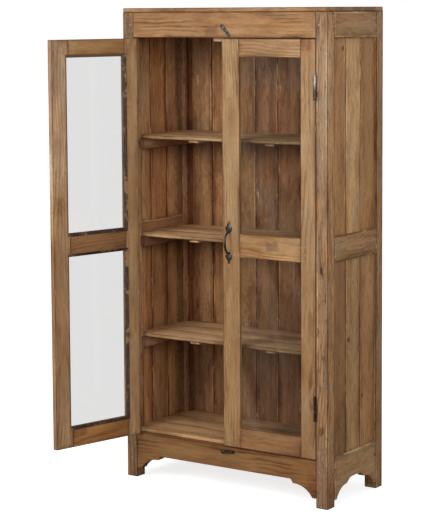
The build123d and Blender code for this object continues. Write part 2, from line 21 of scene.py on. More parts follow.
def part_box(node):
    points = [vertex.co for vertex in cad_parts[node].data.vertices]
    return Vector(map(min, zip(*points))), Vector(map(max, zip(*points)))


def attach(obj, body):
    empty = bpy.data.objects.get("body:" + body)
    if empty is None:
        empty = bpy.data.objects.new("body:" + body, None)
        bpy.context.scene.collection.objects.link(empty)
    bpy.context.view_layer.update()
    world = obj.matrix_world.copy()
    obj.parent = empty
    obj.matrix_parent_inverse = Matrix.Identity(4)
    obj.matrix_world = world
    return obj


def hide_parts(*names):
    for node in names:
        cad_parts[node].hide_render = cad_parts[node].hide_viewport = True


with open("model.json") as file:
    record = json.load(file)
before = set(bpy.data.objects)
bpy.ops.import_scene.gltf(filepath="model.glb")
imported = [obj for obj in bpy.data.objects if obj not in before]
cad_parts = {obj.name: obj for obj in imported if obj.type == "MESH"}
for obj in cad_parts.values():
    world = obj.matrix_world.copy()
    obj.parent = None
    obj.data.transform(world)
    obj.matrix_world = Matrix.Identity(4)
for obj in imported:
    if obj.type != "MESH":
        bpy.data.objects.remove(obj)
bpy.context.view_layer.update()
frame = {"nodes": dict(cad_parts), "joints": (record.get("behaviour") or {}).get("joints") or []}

log = logging.getLogger("cabinet")

Colour = tuple[float, float, float]
Place = tuple[float, float, float]
Socket = bpy.types.NodeSocket
Outputs = bpy.types.bpy_prop_collection

SIDES = ("left", "right")
TO_VIEWER = Vector((0.0, -1.0, 0.0))
WHITE = (1.0, 1.0, 1.0)

# Where a Mix node keeps its colours, whose names it repeats for other kinds of data
MIX_FIRST, MIX_SECOND, MIX_RESULT = 6, 7, 2

# Where the case's outside ends and its inside begins, along each axis
CASE_SIDE = (0.4335, 0.4315)
CASE_FRONT = (-0.198, -0.188)
CASE_BACK = (0.1935, 0.1905)
CASE_FOOT = (0.15, 0.19)
CASE_TOP = (1.783, 1.778)
SHELF_TOPS = tuple(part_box(f"{level}_shelf")[1][2] for level in ("lower", "middle", "upper"))

# Where painted shade begins in the case and where it is full: low down, at the top and by the
# shelves
LOW_SHADE_BELOW, LOW_SHADE_BEHIND = (0.75, 0.3), (0.0, 0.16)
TOP_SHADE_ABOVE = (1.42, 1.74)
SHELF_SHADE_BEHIND = (-0.25, 0.17)

# What the wood's colour is multiplied by where each effect shows
WARM_TINT = (1.12, 0.93, 0.72)
PORE_TINT = (0.55, 0.50, 0.46)
DARK_FLECK_TINT = (0.52, 0.43, 0.36)
PALE_FLECK_TINT = (1.34, 1.34, 1.32)
KNOT_TINT = (0.35, 0.24, 0.17)
STAIN_TINT = (0.58, 0.46, 0.38)
# rubbed edges, lightened also as a painted highlight along them
RUB_AND_HIGHLIGHT_TINT = (1.80, 1.84, 1.88)
# dirt and painted shade, darker near the edges where boards meet
DIRT_AND_SHADE_TINT = (0.55, 0.46, 0.41)
SEAM_TINT = (0.26, 0.20, 0.17)
MARK_TINT = (0.42, 0.36, 0.33)

# What covers the wood in places
SPECK_COLOUR = (0.72, 0.66, 0.58)
FILLER_COLOUR = (0.36, 0.31, 0.29)


def rgba(colour: Colour) -> tuple[float, float, float, float]:
    """Gives a colour its alpha."""
    return (*colour, 1.0)


class Sketch:
    """Adds nodes to one material or group, and joins them to what they are given."""

    def __init__(self, tree: bpy.types.NodeTree) -> None:
        """Starts on a tree."""
        self.tree = tree

    def node(self, kind: str, **settings: object) -> bpy.types.Node:
        """Adds a node.

        Args:
            kind: The node's type. A shader node's goes without its prefix.
            **settings: Properties to set on it.

        Returns:
            The new node.
        """
        made = self.tree.nodes.new(kind if "Node" in kind else "ShaderNode" + kind)
        for name, value in settings.items():
            setattr(made, name, value)
        return made

    def feed(self, socket: Socket, value: object) -> None:
        """Links a socket, or writes a plain value on it.

        Args:
            socket: The socket, which takes something in.
            value: A socket to link it to, a value, or None to leave it as it is.
        """
        if isinstance(value, Socket):
            self.tree.links.new(value, socket)
        elif value is not None:
            socket.default_value = value

    def fill(self, made: bpy.types.Node, **values: object) -> bpy.types.Node:
        """Feeds a node's inputs.

        Args:
            made: The node.
            **values: What its inputs take, by name with underscores for spaces.

        Returns:
            The same node.
        """
        for name, value in values.items():
            self.feed(made.inputs[name.replace("_", " ")], value)
        return made

    def row(self, made: bpy.types.Node, *values: object) -> bpy.types.Node:
        """Feeds a node's inputs in their order.

        Args:
            made: The node.
            *values: What its inputs take, with None for one that is left as it is.

        Returns:
            The same node.
        """
        for socket, value in zip(made.inputs, values):
            self.feed(socket, value)
        return made

    def group(self, tree: bpy.types.NodeTree, **values: object) -> Outputs:
        """Places a group with these inputs, and gives its outputs."""
        return self.fill(self.node("Group", node_tree=tree), **values).outputs

    def math(self, operation: str, *values: object, clamp: bool = False) -> Socket:
        """Adds a Math node.

        Args:
            operation: The sum's name, in capitals.
            *values: Its inputs in order, as numbers or sockets.
            clamp: Whether the result is kept between 0 and 1.

        Returns:
            The result's socket.
        """
        return self.row(self.node("Math", operation=operation, use_clamp=clamp), *values).outputs[0]

    def chain(self, operation: str, first: object, *others: object) -> Socket:
        """Does one sum over and over.

        Args:
            operation: The sum's name, in capitals.
            first: The value that it starts from.
            *others: What is added, multiplied or compared in turn.

        Returns:
            The last result's socket.
        """
        for other in others:
            first = self.math(operation, first, other)
        return first

    def plus(self, *values: object) -> Socket:
        """Adds values up."""
        return self.chain("ADD", *values)

    def minus(self, value: object, less: object) -> Socket:
        """Takes one value from another."""
        return self.math("SUBTRACT", value, less)

    def times(self, *values: object) -> Socket:
        """Multiplies values."""
        return self.chain("MULTIPLY", *values)

    def largest(self, *values: object) -> Socket:
        """Gives the largest of some values."""
        return self.chain("MAXIMUM", *values)

    def scaled(self, value: object, factor: object, start: object, clamp: bool = False) -> Socket:
        """Adds so many times a value to a start."""
        return self.math("MULTIPLY_ADD", value, factor, start, clamp=clamp)

    def step(self, value: object, low: object, high: object) -> Socket:
        """Runs smoothly from 0 at one value to 1 at another, and stays there beyond them."""
        made = self.node("MapRange", interpolation_type="SMOOTHSTEP")
        return self.fill(made, Value=value, From_Min=low, From_Max=high).outputs["Result"]

    def vector(self, operation: str, *values: object) -> Socket:
        """Adds a Vector Math node, and gives its result."""
        made = self.node("VectorMath", operation=operation)
        return self.row(made, *values).outputs["Vector"]

    def parts(self, place: object) -> list[Socket]:
        """Parts a place into its three values."""
        return list(self.row(self.node("SeparateXYZ"), place).outputs)

    def joined(self, *values: object) -> Socket:
        """Joins three values into a place."""
        return self.row(self.node("CombineXYZ"), *values).outputs[0]

    def object_place(self) -> Socket:
        """Gives Object coordinates."""
        return self.node("TexCoord").outputs["Object"]

    def mix(self, amount: object, first: object, second: object, blend: str = "MIX") -> Socket:
        """Mixes two colours.

        Args:
            amount: How much of the second, from 0 to 1.
            first: The colour underneath.
            second: The colour on top.
            blend: The name of the way they mix, in capitals.

        Returns:
            The mixed colour's socket.
        """
        made = self.row(self.node("Mix", data_type="RGBA", blend_type=blend), amount)
        for place, colour in ((MIX_FIRST, first), (MIX_SECOND, second)):
            self.feed(made.inputs[place], colour if isinstance(colour, Socket) else rgba(colour))
        return made.outputs[MIX_RESULT]

    def choose(self, amount: object, first: Socket, second: Socket) -> Socket:
        """Mixes two shaders: the first at 0, and the second at 1."""
        return self.row(self.node("MixShader"), amount, first, second).outputs[0]

    def noise(
        self, place: object, scale: object = 1.0, detail: float = 2.0, rough: float = 0.5
    ) -> Socket:
        """Adds a noise of one value, about 0.5 on average.

        Args:
            place: Where it is read.
            scale: How many of its clouds there are to a metre.
            detail: How many finer layers it has.
            rough: How strong the finer layers are.

        Returns:
            The value's socket.
        """
        made = self.node("TexNoise")
        return self.fill(made, Vector=place, Scale=scale, Detail=detail, Roughness=rough).outputs[0]

    def grain(
        self, place: object, along: float, across: float, detail: float = 2.0, rough: float = 0.5
    ) -> Socket:
        """Adds a noise that is drawn out along a board.

        Args:
            place: Where it is read, along, across and through the board.
            along: How many of its clouds there are to a metre along the board.
            across: How many there are to a metre across and through it.
            detail: How many finer layers it has.
            rough: How strong the finer layers are.

        Returns:
            The value's socket.
        """
        drawn = self.vector("MULTIPLY", place, (along, across, across))
        return self.noise(drawn, 1.0, detail, rough)

    def wander(self, place: object, scale: float = 5.0, detail: float = 2.0) -> Socket:
        """Gives a wander in three ways, about 0 on average, that lines and edges can follow."""
        made = self.fill(self.node("TexNoise"), Vector=place, Scale=scale, Detail=detail)
        return self.vector("SUBTRACT", made.outputs["Color"], (0.5, 0.5, 0.5))

    def cells(self, place: object, scale: float, share: object) -> tuple[Socket, Socket]:
        """Scatters cells, and chooses some of them by chance.

        Args:
            place: Where they are read.
            scale: How many there are to a metre.
            share: The share of them that is chosen.

        Returns:
            How far the middle of the cell is, in cells, and 1 in a chosen cell.
        """
        made = self.fill(self.node("TexVoronoi"), Vector=place, Scale=scale)
        chance = self.row(self.node("SeparateColor"), made.outputs["Color"]).outputs[0]
        return made.outputs["Distance"], self.math("LESS_THAN", chance, share)

    def spots(self, place: object, scale: float, radius: float, share: float) -> Socket:
        """Scatters round spots, one at most to a cell, that are 1 in their middle."""
        distance, chosen = self.cells(place, scale, share)
        return self.times(self.step(distance, radius, 0.0), chosen)

    def bump(
        self, shader: bpy.types.Node, height: Socket, distance: float, strength: float = 1.0
    ) -> None:
        """Gives a shader a relief.

        Args:
            shader: The shader.
            height: The relief's height, about 0 to 1.
            distance: How deep a height of 1 is, in metres.
            strength: How much of it counts.
        """
        relief = self.fill(self.node("Bump"), Strength=strength, Distance=distance, Height=height)
        self.fill(shader, Normal=relief.outputs[0])


def new_group(
    name: str,
    inputs: dict[str, tuple[str, object]],
    outputs: tuple[str, ...],
    data: str = "Float",
) -> tuple[bpy.types.NodeTree, Sketch, dict[str, Socket], bpy.types.Node]:
    """Starts a node group.

    Args:
        name: What it is called.
        inputs: For each input, its kind of socket and its usual value.
        outputs: What its outputs are called.
        data: What they give: Float in a material's group, or Geometry in a shape's.

    Returns:
        The group, a sketch on it, its inputs inside it, and its output node.
    """
    kind = "GeometryNodeTree" if data == "Geometry" else "ShaderNodeTree"
    tree = bpy.data.node_groups.new(name, kind)
    for label, (given, value) in inputs.items():
        socket = tree.interface.new_socket(
            label, in_out="INPUT", socket_type="NodeSocket" + given
        )
        if value is not None:
            socket.default_value = value
    for label in outputs:
        tree.interface.new_socket(label, in_out="OUTPUT", socket_type="NodeSocket" + data)
    source = tree.nodes.new("NodeGroupInput")
    end = tree.nodes.new("NodeGroupOutput")
    return tree, Sketch(tree), dict(zip(inputs, source.outputs)), end


def moved_by_seed(s: Sketch, place: Socket, seed: Socket, factors: Place) -> Socket:
    """Moves a place by its board's own seed, so that no two boards have the same grain."""
    return s.vector("ADD", place, s.joined(*(s.times(seed, factor) for factor in factors)))


def teak_figure() -> bpy.types.NodeTree:
    """The figure of sawn teak: growth rings, streaks, fibres, pores, knots and clouds of tone.

    Returns:
        A group that reads a place along, across and through a board.
    """
    tree, s, given, out = new_group(
        "teak figure",
        {
            "Place": ("Vector", None),
            "Seed": ("Float", 0.0),
            "Spacing": ("Float", 0.009),
            "Knots": ("Float", 0.1),
        },
        ("Ring", "Streak", "Fibre", "Pore", "Fleck", "Knot", "Cloud", "Drift"),
    )
    own = [s.math("FRACT", s.times(given["Seed"], factor)) for factor in (7.31, 13.73, 29.17)]
    place = moved_by_seed(s, given["Place"], given["Seed"], (41.0, 23.0, 11.0))
    length, width, thickness = s.parts(given["Place"])

    flat = s.vector("MULTIPLY", place, (1.0, 1.0, 0.0))
    distance, knotted = s.cells(flat, 6.5, given["Knots"])
    swirl = s.times(s.step(distance, 0.42, 0.0), knotted)

    # A ring's number is how far the heart of the log is, beside the board and under it
    lean = s.times(s.minus(own[1], 0.5), 0.07)
    aside = s.times(s.minus(own[0], 0.5), 0.17)
    beside = s.plus(s.scaled(length, lean, width), aside)
    beside = s.scaled(s.minus(s.grain(place, 2.6, 9.0, 3.0), 0.5), 0.05, beside)
    under = s.scaled(own[2], 0.04, s.scaled(s.grain(place, 1.1, 0.5, 1.0), 0.11, -0.028))
    under = s.plus(thickness, under)
    reach = s.math("SQRT", s.plus(s.math("POWER", beside, 2.0), s.math("POWER", under, 2.0)))
    reach = s.scaled(swirl, 0.022, reach)
    jitter = s.times(s.grain(place, 7.0, 60.0), 0.9)
    turn = s.math("FRACT", s.plus(s.math("DIVIDE", reach, given["Spacing"]), jitter))
    ring = s.times(s.step(turn, 0.4, 0.92), s.step(turn, 1.0, 0.93))
    fading = s.step(s.grain(place, 4.0, 16.0), 0.38, 0.62)

    slow = s.wander(s.vector("MULTIPLY", place, (4.0, 11.0, 11.0)))
    bent = s.vector("ADD", place, s.vector("MULTIPLY", slow, (0.0, 0.016, 0.016)))
    s.fill(
        out,
        Ring=s.times(ring, fading),
        Streak=s.grain(bent, 3.6, 95.0, 5.0, 0.7),
        Fibre=s.grain(bent, 11.0, 210.0, 3.0, 0.7),
        Pore=s.step(s.grain(place, 26.0, 900.0, 1.0), 0.6, 0.72),
        Fleck=s.grain(bent, 22.0, 125.0, 3.0, 0.6),
        Knot=s.times(s.step(distance, 0.085, 0.02), knotted),
        Cloud=s.grain(place, 5.0, 13.0, 4.0, 0.6),
        Drift=s.grain(bent, 1.9, 24.0),
    )
    return tree


def board_age() -> bpy.types.NodeTree:
    """What years of use leave on a board: dirt and painted shade in its corners, rubbed edges with
    a painted highlight, chipped edges, marks.

    Returns:
        A group that reads a place on a board and the board's half sizes.
    """
    tree, s, given, out = new_group(
        "board age",
        {
            "Place": ("Vector", None),
            "Half": ("Vector", None),
            "Seed": ("Float", 0.0),
            "Chips": ("Float", 0.3),
        },
        ("Seam", "Dirt", "Rub", "Chip", "Mark", "Speck", "Stain", "Filler", "Silver"),
    )
    place = moved_by_seed(s, given["Place"], given["Seed"], (19.0, 37.0, 5.0))

    # On a face one of the three gaps is 0, and the next is how far the nearest edge is
    gaps = s.parts(s.vector("SUBTRACT", given["Half"], s.vector("ABSOLUTE", given["Place"])))
    edge = s.minus(s.minus(s.plus(*gaps), s.chain("MINIMUM", *gaps)), s.largest(*gaps))
    fray = s.minus(s.noise(place, 55.0, 3.0, 0.6), 0.5)
    ragged = s.scaled(fray, -0.006, edge)
    even = s.scaled(fray, -0.0022, edge)
    broad = s.grain(place, 4.0, 14.0)

    # Rubbed edges and a painted highlight: a light band a few millimetres in from every edge
    rubbed_and_highlit = s.times(s.step(even, 0.0080, 0.0050), s.step(even, 0.0022, 0.0040))
    limit = s.minus(0.72, s.times(given["Chips"], 0.3))
    bite = s.step(s.grain(place, 9.0, 75.0, 4.0, 0.75), limit, s.plus(limit, 0.05))
    blots = s.scaled(s.step(edge, 0.05, 0.0), 0.07, s.grain(place, 6.0, 15.0, 5.0, 0.68))
    scores = s.step(s.grain(place, 9.0, 300.0, 1.0), 0.74, 0.8)
    s.fill(
        out,
        Seam=s.step(even, 0.0036, 0.0010),
        # Dirt and painted shade within 20 mm of the edges, in broad patches
        Dirt=s.times(s.step(ragged, 0.02, 0.0), s.step(broad, 0.38, 0.62)),
        Rub=s.times(rubbed_and_highlit, s.step(broad, 0.62, 0.4)),
        Chip=s.times(s.step(ragged, 0.0058, 0.0018), bite),
        Mark=s.largest(s.spots(place, 11.0, 0.022, 0.16), scores),
        Speck=s.spots(place, 23.0, 0.05, 0.035),
        Stain=s.step(blots, 0.5, 0.68),
        Filler=s.step(s.grain(place, 16.0, 70.0, 3.0, 0.7), 0.67, 0.74),
        Silver=s.grain(place, 5.0, 34.0, 4.0, 0.65),
    )
    return tree


def case_inside() -> bpy.types.NodeTree:
    """Tells the closed-in faces of the case from its outside.

    Returns:
        A group with two values: 1 within the case and 0 outside it, and the painted shade low and
        high in it and by its shelves.
    """
    tree, s, _, out = new_group("case inside", {}, ("Inside", "Grime"))
    x, y, z = s.parts(s.object_place())
    wide = s.step(s.math("ABSOLUTE", x), *CASE_SIDE)
    level = s.times(s.step(z, *CASE_FOOT), s.step(z, *CASE_TOP))
    within = s.times(wide, level, s.times(s.step(y, *CASE_FRONT), s.step(y, *CASE_BACK)))

    # Painted shade: darker low down towards the back, high up under the top, and in bands under and
    # just above each shelf, deeper towards the back
    low_shade = s.times(s.step(z, *LOW_SHADE_BELOW), s.step(y, *LOW_SHADE_BEHIND), 0.6)
    painted_shade = s.largest(low_shade, s.times(s.step(z, *TOP_SHADE_ABOVE), 0.45))
    for top in SHELF_TOPS:
        below = s.times(s.step(z, top - 0.12, top - 0.03), s.step(z, top, top - 0.01))
        above = s.times(s.step(z, top + 0.06, top + 0.004), s.step(z, top, top + 0.003))
        shelf_shade = s.largest(below, s.times(above, 0.25))
        painted_shade = s.largest(painted_shade, s.times(shelf_shade, s.step(y, *SHELF_SHADE_BEHIND)))
    s.fill(out, Inside=within, Grime=s.times(within, painted_shade))
    return tree


def metal_skin() -> bpy.types.NodeTree:
    """Old iron: pits, rubbed high spots and rust.

    Returns:
        A group that reads a place and gives masks and a height.
    """
    tree, s, given, out = new_group(
        "metal skin",
        {"Place": ("Vector", None), "Coarse": ("Float", 180.0)},
        ("Rubbed", "Rust", "Pits", "Height"),
    )
    place, coarse = given["Place"], given["Coarse"]
    dents = s.noise(place, coarse, 3.0, 0.55)
    fine = s.noise(place, s.times(coarse, 5.0), 2.0, 0.6)
    bloom = s.noise(place, s.times(coarse, 0.6), 4.0, 0.7)
    s.fill(
        out,
        Rubbed=s.step(dents, 0.47, 0.7),
        Rust=s.step(bloom, 0.52, 0.68),
        Pits=s.step(fine, 0.55, 0.75),
        Height=s.scaled(fine, 0.3, dents),
    )
    return tree


FIGURE = teak_figure()
AGE = board_age()
INSIDE = case_inside()
SKIN = metal_skin()


def new_material(name: str) -> tuple[bpy.types.Material, Sketch, bpy.types.Node]:
    """Starts a material.

    Args:
        name: What it is called.

    Returns:
        The material, a sketch on it, and its one shader.
    """
    material = bpy.data.materials.new(name)
    material.use_nodes = True
    sketch = Sketch(material.node_tree)
    return material, sketch, material.node_tree.nodes["Principled BSDF"]


def show(material: bpy.types.Material, s: Sketch, shader: Socket) -> None:
    """Makes a shader the one that a material shows."""
    s.row(material.node_tree.nodes["Material Output"], shader)


@dataclass(frozen=True)
class Patch:
    """One patch of colour at a known place, with the right door shut and the left one open.

    Some patches are marks on the wood, and some are painted light or shade.

    Attributes:
        place: Its middle.
        size: Its half sizes along x, y and z.
        colour: What the wood's colour is multiplied by.
        amount: How strongly it shows.
        soft: How far its edge fades, as a share of its size.
    """

    place: Place
    size: Place
    colour: Colour
    amount: float = 0.9
    soft: float = 0.9

    def paint(self, s: Sketch, ground: Socket, ragged: Socket, colour: Socket) -> Socket:
        """Lays the patch on a colour.

        Args:
            s: The material's sketch.
            ground: Object coordinates.
            ragged: A wander, about 0 on average, that frays its edge.
            colour: The colour underneath.

        Returns:
            The marked colour's socket.
        """
        away = s.vector("DIVIDE", s.vector("SUBTRACT", ground, self.place), self.size)
        far = s.largest(*s.parts(s.vector("ADD", s.vector("ABSOLUTE", away), ragged)))
        mask = s.times(s.step(far, 1.0 + self.soft / 2, 1.0 - self.soft / 2), self.amount)
        return s.mix(mask, colour, self.colour, "MULTIPLY")


@dataclass(frozen=True)
class TimberFinish:
    """One finish of old teak.

    The colours are linear: pale for early wood, dark for rings, aged for silvered patches, and
    raw for what a chip lays bare. Inside the case the wood is multiplied by inside_light, a
    painted light that makes the inside lighter, and by painted_shade where the painted shade
    lies. Its rings are about spacing metres apart, knots is the share of spots that have one, and
    rough is its roughness. The other numbers say how strongly each effect shows.
    """

    pale: Colour = (0.52, 0.305, 0.138)
    dark: Colour = (0.225, 0.103, 0.038)
    aged: Colour = (0.33, 0.235, 0.14)
    raw: Colour = (0.60, 0.44, 0.26)
    ring: float = 0.3
    streak: float = 1.0
    flecks: float = 0.5
    stains: float = 0.4
    spacing: float = 0.011
    knots: float = 0.12
    silver: float = 0.35
    dirt_and_shade: float = 0.6
    seam: float = 0.75
    rub_and_highlight: float = 0.2
    chips: float = 0.3
    filler: float = 0.0
    inside: float = 0.0
    # painted light: the closed-in faces are made lighter than the outside
    inside_light: Colour = (1.15, 1.10, 1.12)
    # painted shade: what the painted shade in the case multiplies the wood's colour by
    painted_shade: Colour = (0.42, 0.38, 0.41)
    rough: float = 0.58
    colour_patches: tuple[Patch, ...] = ()

    def make(self, name: str) -> bpy.types.Material:
        """Makes the material.

        Args:
            name: What it is called.

        Returns:
            The material, which reads the boards' own attributes.
        """
        material, s, shader = new_material(name)
        grain, half, tone, seed = (
            s.node("Attribute", attribute_name=layer) for layer in ("grain", "half", "tone", "seed")
        )
        board = {"Place": grain.outputs["Vector"], "Seed": seed.outputs["Fac"]}
        figure = s.group(FIGURE, Spacing=self.spacing, Knots=self.knots, **board)
        age = s.group(AGE, Half=half.outputs["Vector"], Chips=self.chips, **board)
        inner = s.group(INSIDE)
        within = s.times(inner["Inside"], self.inside)
        colour = self.sawn(s, figure, age["Silver"], within)
        layers = (
            (s.times(figure["Pore"], 0.4), PORE_TINT),
            (s.times(s.step(figure["Fleck"], 0.57, 0.68), self.flecks), DARK_FLECK_TINT),
            (s.times(s.step(figure["Fleck"], 0.42, 0.32), self.flecks), PALE_FLECK_TINT),
            (figure["Knot"], KNOT_TINT),
            (1.0, tone.outputs["Color"]),
            # painted light: lighter inside the case
            (within, self.inside_light),
            # painted shade, darker low, high and by the shelves inside the case
            (inner["Grime"], self.painted_shade),
            (s.times(age["Stain"], self.stains), STAIN_TINT),
            # rubbed edges with a painted highlight
            (s.times(age["Rub"], self.rub_and_highlight), RUB_AND_HIGHLIGHT_TINT),
            # dirt and painted shade by the edges, stronger inside the case
            (s.times(age["Dirt"], s.scaled(within, 0.4, self.dirt_and_shade)), DIRT_AND_SHADE_TINT),
            (s.times(age["Seam"], self.seam), SEAM_TINT),
            (s.times(age["Mark"], 0.6), MARK_TINT),
        )
        for amount, tint in layers:
            colour = s.mix(amount, colour, tint, "MULTIPLY")
        dull = s.scaled(s.minus(figure["Streak"], 0.5), 0.3, self.rough)
        s.fill(
            shader,
            Base_Color=self.scarred_and_shaded(s, colour, age),
            Roughness=s.scaled(age["Dirt"], 0.15, dull, clamp=True),
            Specular_IOR_Level=0.28,
        )
        height = s.times(figure["Fibre"], 0.4)
        for effect, depth in (("Ring", -0.25), ("Pore", -0.5), ("Streak", 0.8)):
            height = s.scaled(figure[effect], depth, height)
        s.bump(shader, s.minus(height, s.plus(age["Mark"], age["Chip"])), 0.0008, 0.7)
        return material

    def sawn(self, s: Sketch, figure: Outputs, silvering: Socket, within: Socket) -> Socket:
        """Colours the sawn wood, before dirt and wear.

        Args:
            s: The material's sketch.
            figure: What the group of the teak's figure gives.
            silvering: The clouds that silvered patches come from.
            within: How far the place is inside the case, where streaks are stronger.

        Returns:
            The colour's socket.
        """
        contrast = s.plus(within, self.streak)
        shade = 0.3
        shares = {"Streak": contrast, "Fibre": 0.5, "Drift": contrast, "Cloud": 0.8}
        for effect, share in shares.items():
            shade = s.scaled(s.minus(figure[effect], 0.5), share, shade)
        shade = s.scaled(figure["Ring"], self.ring, shade, clamp=True)
        warm = s.times(s.step(figure["Cloud"], 0.42, 0.7), 0.35)
        colour = s.mix(warm, s.mix(shade, self.pale, self.dark), WARM_TINT, "MULTIPLY")
        return s.mix(s.times(s.step(silvering, 0.42, 0.68), self.silver), colour, self.aged)

    def scarred_and_shaded(self, s: Sketch, colour: Socket, age: Outputs) -> Socket:
        """Lays the known patches of marks and of painted light and shade, then chips, specks and
        filler, on a colour.

        Args:
            s: The material's sketch.
            colour: The colour underneath.
            age: What the group of the board's age gives.

        Returns:
            The colour's socket.
        """
        if self.colour_patches:
            ground = s.object_place()
            fray = s.vector("MULTIPLY", s.wander(ground, 70.0, 4.0), (1.6, 1.6, 1.6))
            for colour_patch in self.colour_patches:
                colour = colour_patch.paint(s, ground, fray, colour)
        colour = s.mix(age["Chip"], colour, self.raw)
        colour = s.mix(s.times(age["Speck"], 0.8), colour, SPECK_COLOUR)
        if self.filler > 0:
            colour = s.mix(s.times(age["Filler"], self.filler), colour, FILLER_COLOUR)
        return colour


@dataclass(frozen=True)
class MetalFinish:
    """Old forged or pressed iron, from black to rubbed.

    It is rubbed only above one height, and patchy says how much the rubbing comes and goes there.
    On the hinges the bright rubbing above that height is a painted highlight.
    """

    black: Colour = (0.050, 0.044, 0.040)
    bright: Colour = (0.25, 0.222, 0.20)
    rust: Colour = (0.10, 0.052, 0.03)
    rusting: float = 0.5
    coarse: float = 180.0
    dull: float = 0.42
    patchy: float = 0.9
    rubbed_and_highlit_above: float = -1.0

    def make(self, name: str) -> bpy.types.Material:
        """Makes the material.

        Args:
            name: What it is called.

        Returns:
            The material, which reads Object coordinates.
        """
        material, s, shader = new_material(name)
        place = s.object_place()
        skin = s.group(SKIN, Place=place, Coarse=self.coarse)
        # Painted highlight on the hinges: the metal is rubbed bright only above one height
        high = s.step(s.parts(place)[2], self.rubbed_and_highlit_above, self.rubbed_and_highlit_above + 0.03)
        rubbed_and_highlit = s.times(s.scaled(skin["Rubbed"], self.patchy, 1.0 - self.patchy), high)
        rusty = s.times(skin["Rust"], self.rusting)
        s.fill(
            shader,
            Base_Color=s.mix(rusty, s.mix(rubbed_and_highlit, self.black, self.bright), self.rust),
            Metallic=s.scaled(rusty, -0.9, 0.95),
            Roughness=s.scaled(rusty, 0.3, s.scaled(skin["Pits"], 0.15, self.dull)),
        )
        s.bump(shader, skin["Height"], 0.0006, 0.6)
        return material


@dataclass(frozen=True)
class GlassFinish:
    """An old drawn pane, faintly wavy and greyish. The right door's are smeared and scratched.

    The tint is for what is seen through it, and lit is for what lights the case through it. The
    smears and scratches glow as a painted sheen: smear_glow is what the smears add, and
    glow_strength is how brightly they and the scratches glow, in scratch_glow where scratched.
    """

    tint: Colour = (0.735, 0.735, 0.735)
    lit: Colour = (0.88, 0.885, 0.88)
    smear_glow: Colour = (0.05, 0.038, 0.027)
    scratch_glow: Colour = (0.5, 0.5, 0.5)
    glow_strength: float = 0.5

    def make(self, name: str) -> bpy.types.Material:
        """Makes the material.

        Args:
            name: What it is called.

        Returns:
            The material. Rays from the lamps pass it, so that what is behind it is lit.
        """
        material, s, shader = new_material(name)
        place = s.object_place()
        x, _, z = s.parts(place)
        right_door = s.step(x, -0.1, 0.0)
        worn = s.times(s.step(s.noise(place, 5.0), 0.56, 0.68), right_door)
        lines = s.noise(s.vector("MULTIPLY", place, (240.0, 240.0, 9.0)), 1.0, 1.0)
        scratches = s.times(s.step(lines, 0.66, 0.8), worn)
        slant = s.joined(s.scaled(z, 0.42, x), None, s.times(z, 0.12))
        wiped = s.step(s.noise(slant, 13.0, 3.0, 0.6), 0.48, 0.64)
        clouds = s.noise(s.vector("MULTIPLY", place, (9.0, 9.0, 4.0)), 1.0, 4.0, 0.6)
        # Painted sheen: the right door's smears and scratches glow
        smears = s.scaled(wiped, 0.6, s.times(s.step(clouds, 0.4, 0.7), 0.4))
        smear_glow = s.mix(s.times(smears, right_door), (0.0, 0.0, 0.0), self.smear_glow)
        s.fill(
            shader,
            Base_Color=rgba(self.tint),
            Transmission_Weight=1.0,
            IOR=1.45,
            Specular_IOR_Level=0.2,
            Roughness=s.scaled(scratches, 0.4, 0.02),
            Emission_Color=s.mix(scratches, smear_glow, self.scratch_glow),
            Emission_Strength=self.glow_strength,
        )
        waves = s.noise(s.vector("MULTIPLY", place, (3.0, 3.0, 1.6)), 2.0, 1.0)
        s.bump(shader, waves, 0.002, 0.25)
        clear = s.fill(s.node("BsdfTransparent"), Color=rgba(self.lit))
        path = s.node("LightPath").outputs
        lighting = s.largest(path["Is Shadow Ray"], path["Is Diffuse Ray"])
        show(material, s, s.choose(lighting, shader.outputs[0], clear.outputs[0]))
        return material


@dataclass(frozen=True)
class PuttyFinish:
    """Old stained putty, cracked and dusty.

    It is scraped down to the wood in patches, in the topmost strips above one height, and along
    the open left door's free edge, beyond one place into the room.
    """

    stain: Colour = (0.035, 0.022, 0.015)
    dust: Colour = (0.12, 0.078, 0.052)
    scraped: Colour = (0.27, 0.15, 0.068)
    scraped_above: float = 1.619
    scraped_beyond: float = -0.524

    def make(self, name: str) -> bpy.types.Material:
        """Makes the material.

        Args:
            name: What it is called.

        Returns:
            The material, which reads Object coordinates.
        """
        material, s, shader = new_material(name)
        place = s.object_place()
        _, y, z = s.parts(place)
        lumps = s.noise(place, 90.0, 4.0, 0.65)
        colour = s.mix(s.step(lumps, 0.45, 0.75), self.stain, self.dust)
        topmost = s.step(z, self.scraped_above, self.scraped_above + 0.003)
        free_edge = s.step(y, self.scraped_beyond, self.scraped_beyond - 0.002)
        patches = s.step(s.noise(place, 14.0, 4.0, 0.65), 0.52, 0.60)
        bare = s.largest(patches, s.times(s.largest(topmost, free_edge), 0.9))
        s.fill(
            shader,
            Base_Color=s.mix(bare, colour, self.scraped),
            Roughness=s.scaled(lumps, 0.3, 0.5),
        )
        s.bump(shader, lumps, 0.0012)
        return material


class Finish(Enum):
    """Every finish on the cabinet, by the record's name for its slot."""

    POSTS = "teak_posts"
    TOP = "teak_top"
    FRONT = "teak_front"
    SIDE = "teak_side"
    PLANKS = "teak_planks"
    BACK = "teak_back"
    SHELVES = "teak_shelves"
    CLEATS = "teak_cleats"
    DOORS = "teak_doors"
    PEGS = "teak_pegs"
    PALE = "pale_wood"
    GLASS = "glass"
    PUTTY = "putty"
    IRON = "iron"
    HINGE = "hinge_steel"


